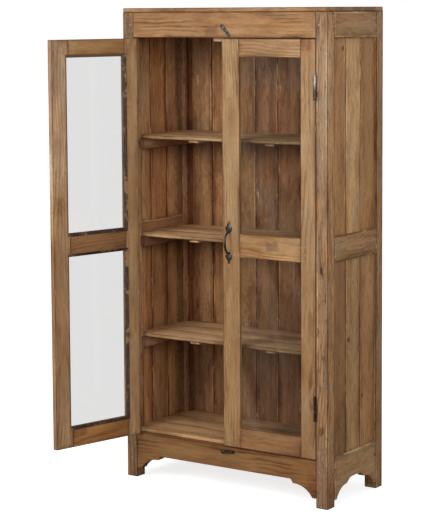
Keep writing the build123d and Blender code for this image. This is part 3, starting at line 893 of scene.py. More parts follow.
DOOR_MARKS = (
    Patch((0.216, -0.19, 0.937), (0.026, 0.03, 0.018), (0.60, 0.58, 0.62), 0.85, 0.4),
    Patch((0.362, -0.19, 1.668), (0.022, 0.03, 0.022), (0.72, 0.56, 0.48), 0.9, 0.7),
    Patch((0.20, -0.19, 0.899), (0.135, 0.03, 0.0065), (1.38, 1.36, 1.34), 0.8, 0.5),
    Patch((0.374, -0.19, 0.50), (0.06, 0.03, 0.42), (0.85, 0.83, 0.82), 1.0),
    Patch((0.035, -0.19, 0.62), (0.03, 0.03, 0.30), (0.92, 0.90, 0.90), 1.0),
    Patch((0.035, -0.19, 1.35), (0.03, 0.03, 0.36), (1.08, 1.16, 1.22), 1.0),
    Patch((0.374, -0.19, 1.30), (0.06, 0.03, 0.36), (1.02, 1.09, 1.18), 1.0),
    Patch((-0.48, -0.56, 1.38), (0.05, 0.06, 0.30), (1.20, 1.34, 1.60)),
    Patch((-0.465, -0.580, 1.60), (0.03, 0.016, 0.07), (0.80, 0.82, 0.90)),
    Patch((-0.465, -0.578, 1.41), (0.03, 0.013, 0.06), (1.24, 1.27, 1.30), 0.9, 0.8),
    Patch((-0.465, -0.552, 1.29), (0.03, 0.011, 0.08), (1.20, 1.24, 1.30), 0.9, 0.8),
    Patch((-0.465, -0.588, 1.22), (0.03, 0.010, 0.06), (1.25, 1.30, 1.36), 0.9, 0.8),
    Patch((-0.465, -0.572, 1.08), (0.03, 0.016, 0.03), (0.78, 0.64, 0.44)),
    Patch((-0.48, -0.56, 0.55), (0.05, 0.06, 0.36), (0.84, 0.82, 0.84)),
)
POST_MARKS = (
    Patch((0.409, -0.2, 1.733), (0.009, 0.012, 0.040), (0.62, 0.62, 0.78), 0.9, 0.7),
    Patch((-0.423, -0.2, 1.728), (0.014, 0.012, 0.046), (0.60, 0.60, 0.74), 0.9, 0.7),
    Patch((0.418, -0.2, 0.915), (0.007, 0.012, 0.115), (0.60, 0.60, 0.68), 0.7),
    Patch((0.424, -0.2, 0.865), (0.005, 0.012, 0.012), (0.34, 0.34, 0.38), 0.9, 0.6),
    Patch((0.425, -0.2, 0.285), (0.010, 0.012, 0.015), (0.45, 0.44, 0.48), 0.9, 0.6),
    Patch((0.425, -0.19, 0.08), (0.05, 0.06, 0.16), (0.76, 0.73, 0.74), 1.0),
    Patch((-0.425, -0.19, 0.15), (0.05, 0.06, 0.30), (0.78, 0.76, 0.80), 1.0),
    Patch((0.425, -0.19, 0.55), (0.05, 0.03, 0.30), (0.90, 0.90, 0.92), 1.0),
    Patch((-0.402, 0.168, 0.95), (0.006, 0.017, 0.78), (0.74, 0.50, 0.46), 0.9, 0.3),
    Patch((-0.417, 0.152, 0.95), (0.013, 0.004, 0.80), (1.34, 1.38, 1.66), 0.9, 0.4),
    Patch((0.45, -0.172, 0.95), (0.002, 0.026, 0.95), (1.34, 1.28, 1.14), 1.0, 0.3),
    Patch((0.425, -0.20, 1.55), (0.05, 0.01, 0.30), (0.94, 1.03, 1.16), 1.0),
    Patch((-0.43, -0.20, 1.20), (0.03, 0.01, 0.56), (0.84, 0.84, 0.92), 1.0),
)
PLANK_MARKS_AND_SHADE = (
    Patch((-0.402, -0.03, 0.41), (0.01, 0.14, 0.17), (1.22, 1.32, 1.36), 1.0),
    # painted shadow: the back strip of the left wall's plank beside the rear post
    Patch((-0.430, 0.137, 0.95), (0.004, 0.024, 0.80), (0.52, 0.51, 0.52), 0.9, 0.8),
)
SHELF_MARKS_AND_SHADE = (
    Patch((0.0, -0.149, 0.9), (0.5, 0.003, 0.6), (0.56, 0.51, 0.45), 1.0, 0.3),
    # painted shade and dirt: the floor boards' front strip, which the front lamp lights, is
    # darkened
    Patch((-0.2, -0.170, 0.19), (0.26, 0.03, 0.05), (0.72, 0.68, 0.62)),
)
BACK_MARKS_AND_SHADING = (
    # painted light: a lighter, greyer patch high on the back boards at the left
    Patch((-0.33, 0.185, 1.40), (0.065, 0.005, 0.28), (1.30, 1.36, 1.46), 1.0),
    # painted shade: darker bands on the back boards just above the middle and lower shelves
    Patch((0.02, 0.185, 1.02), (0.20, 0.005, 0.10), (0.72, 0.76, 0.80), 1.0),
    Patch((0.02, 0.185, 0.63), (0.20, 0.005, 0.10), (0.68, 0.66, 0.60), 1.0),
    Patch((-0.374, 0.185, 1.516), (0.006, 0.005, 0.015), (1.9, 2.0, 1.9), 0.7),
)
RAIL_MARKS = (
    Patch((-0.045, -0.2, 1.718), (0.028, 0.012, 0.020), (0.66, 0.62, 0.64), 0.7),
    Patch((0.12, -0.2, 1.735), (0.14, 0.012, 0.006), (0.76, 0.66, 0.56), 0.7),
    Patch((0.32, -0.2, 1.70), (0.05, 0.012, 0.004), (0.70, 0.58, 0.46), 0.8, 0.8),
    Patch((0.02, -0.2, 0.125), (0.05, 0.012, 0.018), (0.86, 0.98, 0.98)),
    Patch((0.16, -0.2, 0.120), (0.06, 0.012, 0.016), (1.08, 1.16, 1.12)),
    Patch((-0.22, -0.2, 0.125), (0.09, 0.012, 0.016), (0.92, 1.02, 1.04)),
    Patch((0.385, -0.2, 0.08), (0.02, 0.012, 0.05), (0.86, 0.72, 0.62)),
)

RECIPES = {
    Finish.POSTS: TimberFinish(
        ring=0.7, streak=1.5, flecks=1.0, silver=0.6, rub_and_highlight=0.45, chips=0.28, filler=0.6,
        inside=0.6, colour_patches=POST_MARKS,
    ),
    Finish.TOP: TimberFinish(silver=0.5, inside=1.0),
    Finish.FRONT: TimberFinish(
        ring=0.82, spacing=0.015, flecks=0.3, chips=0.1, inside=0.8, colour_patches=RAIL_MARKS
    ),
    Finish.SIDE: TimberFinish(
        flecks=0.7, silver=0.55, seam=0.9, rub_and_highlight=0.7, chips=0.65, inside=1.0
    ),
    Finish.PLANKS: TimberFinish(
        flecks=0.7, stains=0.5, silver=0.5, seam=0.9, rub_and_highlight=0.8, chips=0.4, inside=1.0,
        colour_patches=PLANK_MARKS_AND_SHADE,
    ),
    Finish.BACK: TimberFinish(
        flecks=0.7, stains=0.7, knots=0.25, silver=0.4, seam=0.9, rub_and_highlight=0.9, chips=0.5,
        inside=1.0, colour_patches=BACK_MARKS_AND_SHADING,
    ),
    # The shelves' colours are lighter than the other teak, partly as painted light on the shelves
    Finish.SHELVES: TimberFinish(
        pale=(0.98, 0.68, 0.38), dark=(0.49, 0.29, 0.145), painted_shade=(0.8, 0.78, 0.78),
        ring=0.5, silver=0.3, seam=0.5, rub_and_highlight=0.35, chips=0.25, colour_patches=SHELF_MARKS_AND_SHADE,
    ),
    Finish.CLEATS: TimberFinish(
        pale=(0.27, 0.14, 0.09), dark=(0.12, 0.055, 0.035), painted_shade=(0.9, 0.9, 0.9),
        silver=0.2, chips=0.0,
    ),
    Finish.DOORS: TimberFinish(
        ring=0.55, streak=0.75, flecks=0.3, stains=0.35, silver=0.3, seam=0.6, chips=0.25,
        colour_patches=DOOR_MARKS,
    ),
    Finish.PEGS: TimberFinish(
        dark=(0.30, 0.16, 0.07), stains=0.0, knots=0.0, dirt_and_shade=0.0, seam=0.0, chips=0.0
    ),
    Finish.PALE: TimberFinish(
        pale=(0.62, 0.46, 0.27), dark=(0.45, 0.29, 0.15), painted_shade=WHITE, knots=0.0
    ),
    Finish.GLASS: GlassFinish(),
    Finish.PUTTY: PuttyFinish(),
    Finish.IRON: MetalFinish(),
    # painted highlight: the hinges' steel is bright only on the top part of the upper hinge
    Finish.HINGE: MetalFinish(
        black=(0.12, 0.113, 0.108), bright=(0.95, 0.95, 0.96), rusting=0.3, coarse=60.0,
        dull=0.22, patchy=0.5, rubbed_and_highlit_above=1.505,
    ),
}
MATERIALS = {finish: recipe.make(finish.value) for finish, recipe in RECIPES.items()}


class Tone(Enum):
    """What a board's colour is multiplied by, where it differs from its neighbours."""

    PLAIN = WHITE
    HONEY = (0.93, 0.87, 0.78)
    ROSE = (0.92, 0.92, 0.98)
    STRAW = (1.03, 1.02, 0.93)
    BLOND = (1.52, 1.58, 1.62)
    WHEAT = (1.14, 1.02, 0.92)
    ASH = (1.22, 1.25, 1.34)
    UMBER = (0.80, 0.73, 0.66)
    RUSSET = (0.74, 0.63, 0.56)
    AMBER = (0.64, 0.52, 0.39)
    TOFFEE = (0.98, 0.79, 0.54)
    SORREL = (1.80, 1.76, 1.70)


# How the boards of a node differ, from the left, front and bottom on
TONES = {
    "front_top_rail": (Tone.HONEY,),
    "front_bottom_rail": (Tone.AMBER,),
    "front_right_post": (Tone.ROSE,),
    "right_upper_planks": (Tone.WHEAT, Tone.BLOND, Tone.WHEAT),
    "right_lower_planks": (Tone.UMBER, Tone.STRAW, Tone.WHEAT),
    "left_upper_planks": (Tone.ASH, Tone.WHEAT, Tone.ASH),
    "left_lower_planks": (Tone.WHEAT, Tone.UMBER, Tone.STRAW),
    "back_boards": (
        Tone.PLAIN, Tone.UMBER, Tone.STRAW, Tone.UMBER,
        Tone.WHEAT, Tone.UMBER, Tone.PLAIN, Tone.RUSSET,
    ),
    "floor_boards": (Tone.UMBER,) * 3,
    "shelf_battens": (Tone.UMBER,) * 6,
    "left_shelf_cleats": (Tone.SORREL, Tone.WHEAT, Tone.SORREL),
    "right_door_middle_rail": (Tone.STRAW,),
    "right_door_bottom_rail": (Tone.RUSSET,),
    "left_door_meeting_stile": (Tone.ASH,),
    "left_door_hinge_stile": (Tone.ASH,),
    "left_door_top_rail": (Tone.STRAW,),
    "left_door_middle_rail": (Tone.RUSSET,),
    "left_door_bottom_rail": (Tone.TOFFEE,),
}


def door_swing() -> Matrix:
    """Works out how the left door closes, which stands open in the frame.

    Returns:
        The turn about its hinge pins.
    """
    joint = next(j for j in frame["joints"] if j["name"] == "left_door_hinge")
    pin = Matrix.Translation(Vector(joint["pos_m"]))
    turn = Matrix.Rotation(math.radians(joint["range_deg"][0]), 4, Vector(joint["axis"]))
    return pin @ turn @ pin.inverted()


CLOSING = door_swing()


def bounds_of(points: list[Vector]) -> tuple[Vector, Vector]:
    """Finds the box that some points fill.

    Args:
        points: The points.

    Returns:
        The box's lowest and highest corner.
    """
    low = Vector([min(p[i] for p in points) for i in range(3)])
    high = Vector([max(p[i] for p in points) for i in range(3)])
    return low, high


def islands_of(mesh: bmesh.types.BMesh) -> list[list[bmesh.types.BMVert]]:
    """Parts a mesh into its separate boards.

    Args:
        mesh: The mesh.

    Returns:
        For each board, its corners.
    """
    left = set(mesh.verts)
    boards = []
    while left:
        reached = [left.pop()]
        board = []
        while reached:
            corner = reached.pop()
            board.append(corner)
            for edge in corner.link_edges:
                other = edge.other_vert(corner)
                if other in left:
                    left.remove(other)
                    reached.append(other)
        boards.append(board)
    return boards


def add_object(name: str, data: bpy.types.ID) -> bpy.types.Object:
    """Adds an object to the scene.

    Args:
        name: What it is called.
        data: Its mesh, lamp or camera.

    Returns:
        The object.
    """
    made = bpy.data.objects.new(name, data)
    bpy.context.scene.collection.objects.link(made)
    return made


def place_piece(
    name: str, data: bpy.types.Mesh, body: str, smooth_below: float
) -> bpy.types.Object:
    """Makes a mesh a piece of the cabinet, and reports it.

    Args:
        name: What the piece is called.
        data: Its mesh.
        body: The body that it rides on.
        smooth_below: The angle up to which its faces are shaded as one, in degrees.

    Returns:
        The piece.
    """
    data.shade_smooth()
    data.set_sharp_from_angle(angle=math.radians(smooth_below))
    piece = add_object(name, data)
    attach(piece, body)
    log.info("%s: %d faces", name, len(data.polygons))
    return piece


@dataclass
class Timber:
    """One node's boards, copied from the frame and worn.

    Attributes:
        node: The frame's node that the copy stands for.
        body: The body that it rides on.
        finish: Its finish.
        ease: How far its long edges are rounded.
        seed: What its boards' grain starts from.
        merge: How near the frame's loose corners are when they are one.
        flat: The angle in degrees below which two faces are one.
        long_edge: How long an edge is that wear has rounded.
        sharp: The angle in degrees above which such an edge stands out.
    """

    node: str
    body: str
    finish: Finish
    ease: float = 0.0012
    seed: int = 0
    merge: float = 2e-5
    flat: float = 0.5
    long_edge: float = 0.03
    sharp: float = 40.0

    def build(self) -> bpy.types.Object:
        """Makes the worn copy.

        Returns:
            The piece, which rides on its body in the node's place.
        """
        mesh = bmesh.new()
        mesh.from_mesh(frame["nodes"][self.node].data)
        bmesh.ops.remove_doubles(mesh, verts=mesh.verts, dist=self.merge)
        bmesh.ops.dissolve_limit(
            mesh, angle_limit=math.radians(self.flat), verts=mesh.verts, edges=mesh.edges,
            use_dissolve_boundaries=False,
        )
        if self.ease > 0:
            self.round_edges(mesh)
        self.write_grain(mesh)
        data = bpy.data.meshes.new(self.node + "_worn")
        mesh.to_mesh(data)
        mesh.free()
        data.materials.append(MATERIALS[self.finish])
        piece = place_piece(self.node + "_worn", data, self.body, smooth_below=24.0)
        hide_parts(self.node)
        return piece

    def round_edges(self, mesh: bmesh.types.BMesh) -> None:
        """Rounds the long sharp edges that stand out.

        Args:
            mesh: The boards.
        """
        sharp = [
            edge
            for edge in mesh.edges
            if len(edge.link_faces) == 2
            and edge.is_convex
            and edge.calc_length() > self.long_edge
            and edge.calc_face_angle(0.0) > math.radians(self.sharp)
        ]
        bmesh.ops.bevel(
            mesh, geom=sharp, offset=self.ease, offset_type="OFFSET", segments=2, profile=0.5,
            affect="EDGES", clamp_overlap=True,
        )

    def write_grain(self, mesh: bmesh.types.BMesh) -> None:
        """Writes on each board its own axes, half sizes, tone and seed.

        Args:
            mesh: The boards.
        """
        layers = mesh.verts.layers
        grain, half, tone = (layers.float_vector.new(name) for name in ("grain", "half", "tone"))
        number = layers.float.new("seed")
        home = CLOSING if self.body == "left_door" else Matrix.Identity(4)
        boards = []
        for corners in islands_of(mesh):
            places = [home @ corner.co for corner in corners]
            low, high = bounds_of(places)
            middle = tuple(round(value, 3) for value in (low + high) / 2)
            boards.append((middle, corners, places, high - low))
        boards.sort(key=lambda board: board[0])
        chance = random.Random(f"{self.node}{self.seed}")
        tones = TONES.get(self.node, (Tone.PLAIN,) * len(boards))
        for index, (_, corners, places, size) in enumerate(boards):
            along, across, through = sorted(range(3), key=lambda axis: -size[axis])
            local = [Vector((p[along], p[across], p[through])) for p in places]
            middle, halves = self.face_of(local)
            mood = Vector(tones[index].value) * chance.uniform(0.94, 1.06)
            start = chance.random()
            for corner, place in zip(corners, local):
                corner[grain] = place - middle
                corner[half] = halves
                corner[tone] = mood
                corner[number] = start

    def face_of(self, local: list[Vector]) -> tuple[Vector, Vector]:
        """Measures the part of a board that shows, without its tenons and tongues.

        Args:
            local: The board's corners along, across and through it.

        Returns:
            The middle of that part, and half its size.
        """
        low, high = bounds_of(local)
        skin = min(0.0005 + self.ease, (high[2] - low[2]) / 4)
        faces = [p for p in local if p[2] < low[2] + skin or p[2] > high[2] - skin]
        wide = bounds_of(faces)
        margin = 0.001 + self.ease
        ends = [p for p in faces if p[1] < wide[0][1] + margin or p[1] > wide[1][1] - margin]
        long = bounds_of(ends)
        bottom = Vector((long[0][0], wide[0][1], low[2]))
        top = Vector((long[1][0], wide[1][1], high[2]))
        return (bottom + top) / 2, (top - bottom) / 2


def dress(node: str, finish: Finish) -> None:
    """Gives one of the frame's solids its finish, and leaves its shape alone.

    Args:
        node: The solid's node.
        finish: Its finish.
    """
    for slot in frame["nodes"][node].material_slots:
        slot.material = MATERIALS[finish]
    log.info("%s: dressed as %s", node, finish.value)


@dataclass
class Case:
    """The posts, rails, planks, back and top that make the case."""

    ease: float = 0.0012
    body: str = "carcass"

    def timbers(self) -> dict[str, Finish]:
        """Lists the case's nodes.

        Returns:
            The finish of each node.
        """
        groups = (
            (("front", "rear"), SIDES, "post", Finish.POSTS),
            (("front",), ("top", "bottom"), "rail", Finish.FRONT),
            (("rear",), ("top", "bottom"), "rail", Finish.BACK),
            (SIDES, ("top", "middle", "bottom"), "rail", Finish.SIDE),
            (SIDES, ("upper", "lower"), "planks", Finish.PLANKS),
        )
        found = {
            f"{face}_{place}_{kind}": finish
            for faces, places, kind, finish in groups
            for face in faces
            for place in places
        }
        return found | {"back_boards": Finish.BACK, "top_board": Finish.TOP}

    def build(self) -> None:
        """Makes every timber of the case, and its pegs."""
        for node, finish in self.timbers().items():
            Timber(node, self.body, finish, self.ease).build()
        Timber("frame_pegs", self.body, Finish.PEGS, ease=0.0).build()


@dataclass
class Inside:
    """The floor, shelves, battens, cleats and door stop."""

    ease: float = 0.0010
    body: str = "carcass"
    boards: tuple[str, ...] = ("floor_boards", "upper_shelf", "middle_shelf", "lower_shelf")
    cleats: tuple[str, ...] = ("floor_cleats", "left_shelf_cleats", "right_shelf_cleats")

    def build(self) -> None:
        """Makes every timber inside the case."""
        found = dict.fromkeys(self.boards, Finish.SHELVES)
        found |= dict.fromkeys(self.cleats, Finish.CLEATS)
        found |= {"shelf_battens": Finish.SHELVES, "door_stop": Finish.PALE}
        for node, finish in found.items():
            Timber(node, self.body, finish, self.ease).build()


@dataclass
class Door:
    """One glazed door: its frame, pegs, panes, putty and hinge leaves."""

    side: str
    ease: float = 0.0010
    frame_parts: tuple[str, ...] = (
        "hinge_stile", "meeting_stile", "top_rail", "middle_rail", "bottom_rail"
    )

    @property
    def body(self) -> str:
        """The body that the door is."""
        return self.side + "_door"

    def build(self) -> None:
        """Makes the door's timbers and dresses its other solids."""
        for part in self.frame_parts:
            Timber(f"{self.body}_{part}", self.body, Finish.DOORS, self.ease).build()
        Timber(f"{self.body}_pegs", self.body, Finish.PEGS, ease=0.0).build()
        for part in ("upper_glass", "lower_glass"):
            dress(f"{self.body}_{part}", Finish.GLASS)
        dress(f"{self.body}_putty", Finish.PUTTY)
        dress(f"{self.body}_hinge_leaves", Finish.HINGE)


def finish_tree(s: Sketch, shape: Socket, material: Socket, out: bpy.types.Node) -> None:
    """Ends a geometry group: makes its instances real and gives them their material.

    Args:
        s: The group's sketch.
        shape: What it has made.
        material: The material.
        out: The group's output node.
    """
    real = s.fill(s.node("GeometryNodeRealizeInstances"), Geometry=shape)
    painted = s.node("GeometryNodeSetMaterial")
    s.fill(painted, Geometry=real.outputs[0], Material=material)
    s.fill(out, Geometry=painted.outputs[0])


def heads_tree() -> bpy.types.NodeTree:
    """Sets a domed head on every point of a mesh, along the point's own facing.

    Returns:
        A geometry group. Each head is turned by chance about its own axis.
    """
    tree, s, given, out = new_group(
        "heads",
        {
            "Points": ("Geometry", None),
            "Radius": ("Float", 0.003),
            "Height": ("Float", 0.001),
            "Slot": ("Float", 0.0008),
            "Slotted": ("Bool", True),
            "Seed": ("Int", 0),
            "Material": ("Material", None),
        },
        ("Geometry",),
        "Geometry",
    )
    radius, height = given["Radius"], given["Height"]
    dome = s.fill(s.node("GeometryNodeMeshUVSphere"), Segments=20, Rings=10)
    flat = s.node("GeometryNodeTransform")
    s.fill(flat, Geometry=dome.outputs["Mesh"], Scale=s.joined(radius, radius, height))
    blade = s.node("GeometryNodeMeshCube")
    s.fill(blade, Size=s.joined(s.times(radius, 2.5), given["Slot"], height))
    raised = s.node("GeometryNodeTransform")
    lift = s.joined(None, None, s.times(height, 0.85))
    s.fill(raised, Geometry=blade.outputs["Mesh"], Translation=lift)
    slotted = s.node("GeometryNodeMeshBoolean", operation="DIFFERENCE")
    s.fill(slotted, Mesh_1=flat.outputs[0], Mesh_2=raised.outputs[0])
    head = s.node("GeometryNodeSwitch", input_type="GEOMETRY")
    s.row(head, given["Slotted"], flat.outputs[0], slotted.outputs["Mesh"])

    facing = s.node("GeometryNodeInputNamedAttribute", data_type="FLOAT_VECTOR")
    s.fill(facing, Name="facing")
    aim = s.node("FunctionNodeAlignRotationToVector", axis="Z")
    s.fill(aim, Vector=facing.outputs["Attribute"])
    turn = s.node("FunctionNodeRandomValue", data_type="FLOAT_VECTOR")
    s.fill(turn, Min=(0.0, 0.0, -math.pi), Max=(0.0, 0.0, math.pi), Seed=given["Seed"])
    spun = s.row(s.node("FunctionNodeEulerToRotation"), turn.outputs["Value"])
    both = s.node("FunctionNodeRotateRotation", rotation_space="LOCAL")
    s.fill(both, Rotation=aim.outputs[0], Rotate_By=spun.outputs[0])
    placed = s.node("GeometryNodeInstanceOnPoints")
    s.fill(
        placed, Points=given["Points"], Instance=head.outputs[0], Rotation=both.outputs[0]
    )
    finish_tree(s, placed.outputs[0], given["Material"], out)
    return tree


def bow_tree() -> bpy.types.NodeTree:
    """Sweeps a round bar along a bow, thick in the middle and with a bead near each end.

    Returns:
        A geometry group, which adds the bar to the plates that it is given.
    """
    tree, s, given, out = new_group(
        "bow",
        {
            "Plates": ("Geometry", None),
            "Start": ("Vector", (0.0, 0.0, 0.1)),
            "Start Handle": ("Vector", (0.0, -0.1, 0.1)),
            "End Handle": ("Vector", (0.0, -0.1, -0.1)),
            "End": ("Vector", (0.0, 0.0, -0.1)),
            "Neck": ("Float", 0.004),
            "Belly": ("Float", 0.006),
            "Steps": ("Int", 48),
            "Material": ("Material", None),
        },
        ("Geometry",),
        "Geometry",
    )
    path = s.node("GeometryNodeCurvePrimitiveBezierSegment")
    for name in ("Start", "Start Handle", "End Handle", "End"):
        s.feed(path.inputs[name], given[name])
    s.fill(path, Resolution=given["Steps"])
    along = s.node("GeometryNodeSplineParameter").outputs["Factor"]
    swell = s.math("SINE", s.times(along, math.pi))
    thick = s.scaled(s.minus(given["Belly"], given["Neck"]), swell, given["Neck"])
    from_end = s.minus(0.5, s.math("ABSOLUTE", s.minus(along, 0.5)))
    bead = s.step(s.math("ABSOLUTE", s.minus(from_end, 0.12)), 0.03, 0.0)
    ring = s.fill(s.node("GeometryNodeCurvePrimitiveCircle"), Resolution=20, Radius=1.0)
    bar = s.node("GeometryNodeCurveToMesh")
    s.fill(
        bar, Curve=path.outputs[0], Profile_Curve=ring.outputs[0],
        Scale=s.scaled(bead, 0.0009, thick), Fill_Caps=True,
    )
    joined = s.node("GeometryNodeJoinGeometry")
    for shape in (given["Plates"], bar.outputs[0]):
        s.feed(joined.inputs[0], shape)
    finish_tree(s, joined.outputs[0], given["Material"], out)
    return tree


HEADS = heads_tree()
BOW = bow_tree()


def grow(
    name: str, tree: bpy.types.NodeTree, start: bpy.types.Mesh, body: str, **inputs: object
) -> bpy.types.Object:
    """Runs a geometry group on a mesh and keeps what it makes as a plain piece.

    Args:
        name: What the piece is called.
        tree: The geometry group.
        start: The mesh that it starts from.
        body: The body that the piece rides on.
        **inputs: What the group's inputs take, by name with underscores for spaces.

    Returns:
        The piece.
    """
    host = add_object(name + "_host", start)
    modifier = host.modifiers.new("grow", "NODES")
    modifier.node_group = tree
    for item in tree.interface.items_tree:
        value = inputs.get(item.name.replace(" ", "_"))
        if item.in_out == "INPUT" and value is not None:
            modifier[item.identifier] = value
    grown = host.evaluated_get(bpy.context.evaluated_depsgraph_get())
    data = bpy.data.meshes.new_from_object(grown)
    bpy.data.objects.remove(host)
    data.name = name
    return place_piece(name, data, body, smooth_below=35.0)


@dataclass
class Heads:
    """Screws or nails of one size on one body.

    Attributes:
        name: What the piece is called.
        body: The body that it rides on.
        places: Where each head sits and which way it faces, with the doors shut.
        radius: A head's radius.
        height: How far it stands out.
        slotted: Whether it has a screw's slot.
        finish: Its finish.
        slot_share: The slot's width, as a share of the radius.
        seed: What its chance starts from.
    """

    name: str
    body: str
    places: list[tuple[Vector, Vector]]
    radius: float = 0.0032
    height: float = 0.0008
    slotted: bool = True
    finish: Finish = Finish.IRON
    slot_share: float = 0.24
    seed: int = 3

    def build(self) -> bpy.types.Object:
        """Makes the heads.

        Returns:
            All of them, in one piece.
        """
        home = CLOSING.inverted() if self.body == "left_door" else Matrix.Identity(4)
        points = bpy.data.meshes.new(self.name + "_points")
        points.from_pydata([home @ place for place, _ in self.places], [], [])
        facing = points.attributes.new("facing", "FLOAT_VECTOR", "POINT")
        for entry, (_, way) in zip(facing.data, self.places):
            entry.vector = home.to_3x3() @ way
        return grow(
            self.name, HEADS, points, self.body, Radius=self.radius, Height=self.height,
            Slot=self.radius * self.slot_share, Slotted=self.slotted, Seed=self.seed,
            Material=MATERIALS[self.finish],
        )


@dataclass
class Handle:
    """The forged bow handle: two domed spade plates and the bow between them.

    Attributes:
        middle: The middle of the handle on the door's face.
        outline: The heights of a plate's edge above the middle, and its half widths there.
        plate_middle: How far a plate's own middle is above or below the handle's.
        rise: How far a plate's dome stands out.
        edge: How thick a plate's edge is.
        seat: How far from the middle the bow's ends stand on the plates.
        root: How far they are from the door's face, inside the plates.
        reach: How far the bow's pull stands out, which bends it.
        lean: How far that pull lies inside the ends.
        neck: The bow's radius at its ends.
        belly: Its radius in the middle.
        sunk: How deep the screws sit in the domes.
    """

    middle: Vector = field(default_factory=lambda: Vector((0.0285, -0.2, 0.940)))
    outline: tuple[tuple[float, float], ...] = (
        (0.0360, 0.0057), (0.0390, 0.0093), (0.0422, 0.0120), (0.0460, 0.0138), (0.0510, 0.0148),
        (0.0558, 0.0150), (0.0585, 0.0125), (0.0615, 0.0092), (0.0650, 0.0067), (0.0690, 0.0052),
        (0.0730, 0.0042), (0.0769, 0.0033), (0.0791, 0.0018), (0.0800, 0.0),
    )
    plate_middle: float = 0.0555
    rise: float = 0.003
    edge: float = 0.0012
    seat: float = 0.0402
    root: float = 0.001
    reach: float = 0.036
    lean: float = 0.006
    neck: float = 0.0042
    belly: float = 0.0058
    sunk: float = 0.0004

    def at(self, x: float, out: float, up: float) -> Vector:
        """The place so far right of the middle, out from the door's face and up."""
        return self.middle + Vector((x, -out, up))

    def build(self) -> None:
        """Makes the handle and its two screws."""
        mesh = bmesh.new()
        for way in (1.0, -1.0):
            self.add_plate(mesh, way)
        data = bpy.data.meshes.new("handle_plates")
        mesh.to_mesh(data)
        mesh.free()
        pull = self.seat - self.lean
        piece = grow(
            "door_handle_forged", BOW, data, "right_door",
            Start=self.at(0.0, self.root, self.seat),
            Start_Handle=self.at(0.0, self.reach, pull),
            End_Handle=self.at(0.0, self.reach, -pull),
            End=self.at(0.0, self.root, -self.seat),
            Neck=self.neck, Belly=self.belly, Material=MATERIALS[Finish.IRON],
        )
        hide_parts("door_handle")
        seated = self.rise - self.sunk
        places = [(self.at(0.0, seated, way * self.plate_middle), TO_VIEWER) for way in (1.0, -1.0)]
        Heads(
            "handle_screws", "right_door", places, radius=0.0036, height=0.0012,
            finish=Finish.HINGE,
        ).build()

    def add_plate(self, mesh: bmesh.types.BMesh, way: float) -> None:
        """Adds one domed plate, in rings that rise from its edge to its middle.

        Args:
            mesh: What it is added to.
            way: 1 for the plate above the handle's middle, and -1 for the one below.
        """
        right = [(width, height) for height, width in self.outline]
        left = [(-width, height) for width, height in reversed(right[:-1])]
        # Each ring's share of the outline's size, and how far it stands out
        rings = (
            (1.0, 0.0), (1.0, self.edge), (0.9, self.edge + 0.0006),
            (0.6, self.rise * 0.86), (0.3, self.rise),
        )
        loops = []
        for share, out in rings:
            heights = [self.plate_middle + (z - self.plate_middle) * share for _, z in right + left]
            widths = [x * share for x, _ in right + left]
            loops.append([
                mesh.verts.new(self.at(x, out, way * z)) for x, z in zip(widths, heights)
            ])
        count = len(loops[0])
        for low, high in zip(loops, loops[1:]):
            for i in range(count):
                after = (i + 1) % count
                mesh.faces.new((low[i], low[after], high[after], high[i]))
        mesh.faces.new(loops[-1])
        mesh.faces.new(reversed(loops[0]))
        bmesh.ops.recalc_face_normals(mesh, faces=mesh.faces)


@dataclass
class Fixings:
    """The screws and nails that hold the hinges, cleats and turn buttons.

    Attributes:
        hinge_heights: The middle of each hinge.
        screw_steps: Where a leaf's screws are, from its middle.
        leaf_y: How far back they are.
        frame_x: The fixed leaves' faces, from the cabinet's middle.
        door_x: The doors' leaves' faces.
        cleat_x: The shelf cleats' faces.
        cleat_heights: The middle of each cleat.
        cleat_places: Where its nails are, from front to back.
        button_screws: Where each turn button's screw is, across and up.
        button_y: The turn buttons' faces.
    """

    hinge_heights: tuple[float, ...] = (0.364, 1.516)
    screw_steps: tuple[float, ...] = (-0.031, 0.0, 0.031)
    leaf_y: float = -0.189
    frame_x: float = 0.402
    door_x: float = 0.400
    cleat_x: float = 0.387
    cleat_heights: tuple[float, ...] = (0.521, 0.909, 1.285)
    cleat_places: tuple[float, ...] = (-0.12, 0.01, 0.15)
    button_screws: tuple[tuple[float, float], ...] = ((0.003, 1.733), (-0.002, 0.153))
    button_y: float = -0.2033

    def build(self) -> None:
        """Makes the heads of every kind."""
        self.hinge_screws()
        nails = [
            (Vector((way * self.cleat_x, y, z)), Vector((-way, 0.0, 0.0)))
            for way in (-1.0, 1.0) for z in self.cleat_heights for y in self.cleat_places
        ]
        Heads("cleat_nails", "carcass", nails, radius=0.0026, height=0.0009, slotted=False).build()
        places = [(Vector((x, self.button_y, z)), TO_VIEWER) for x, z in self.button_screws]
        turned = Heads(
            "turn_button_screws_slotted", "carcass", places, radius=0.0046, height=0.0024
        ).build()
        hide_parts("turn_button_screws")

    def hinge_screws(self) -> None:
        """Makes the screws of the fixed leaves and of the doors' leaves."""
        leaf = [
            Vector((0.0, self.leaf_y, z + step))
            for z in self.hinge_heights for step in self.screw_steps
        ]
        fixed = []
        for side, way in zip(SIDES, (-1.0, 1.0)):
            out = Vector((way, 0.0, 0.0))
            fixed += [(place + out * self.frame_x, -out) for place in leaf]
            swung = [(place + out * self.door_x, out) for place in leaf]
            name = f"{side}_door_leaf_screws"
            Heads(name, f"{side}_door", swung, finish=Finish.HINGE).build()
        Heads("frame_leaf_screws", "carcass", fixed, finish=Finish.HINGE).build()


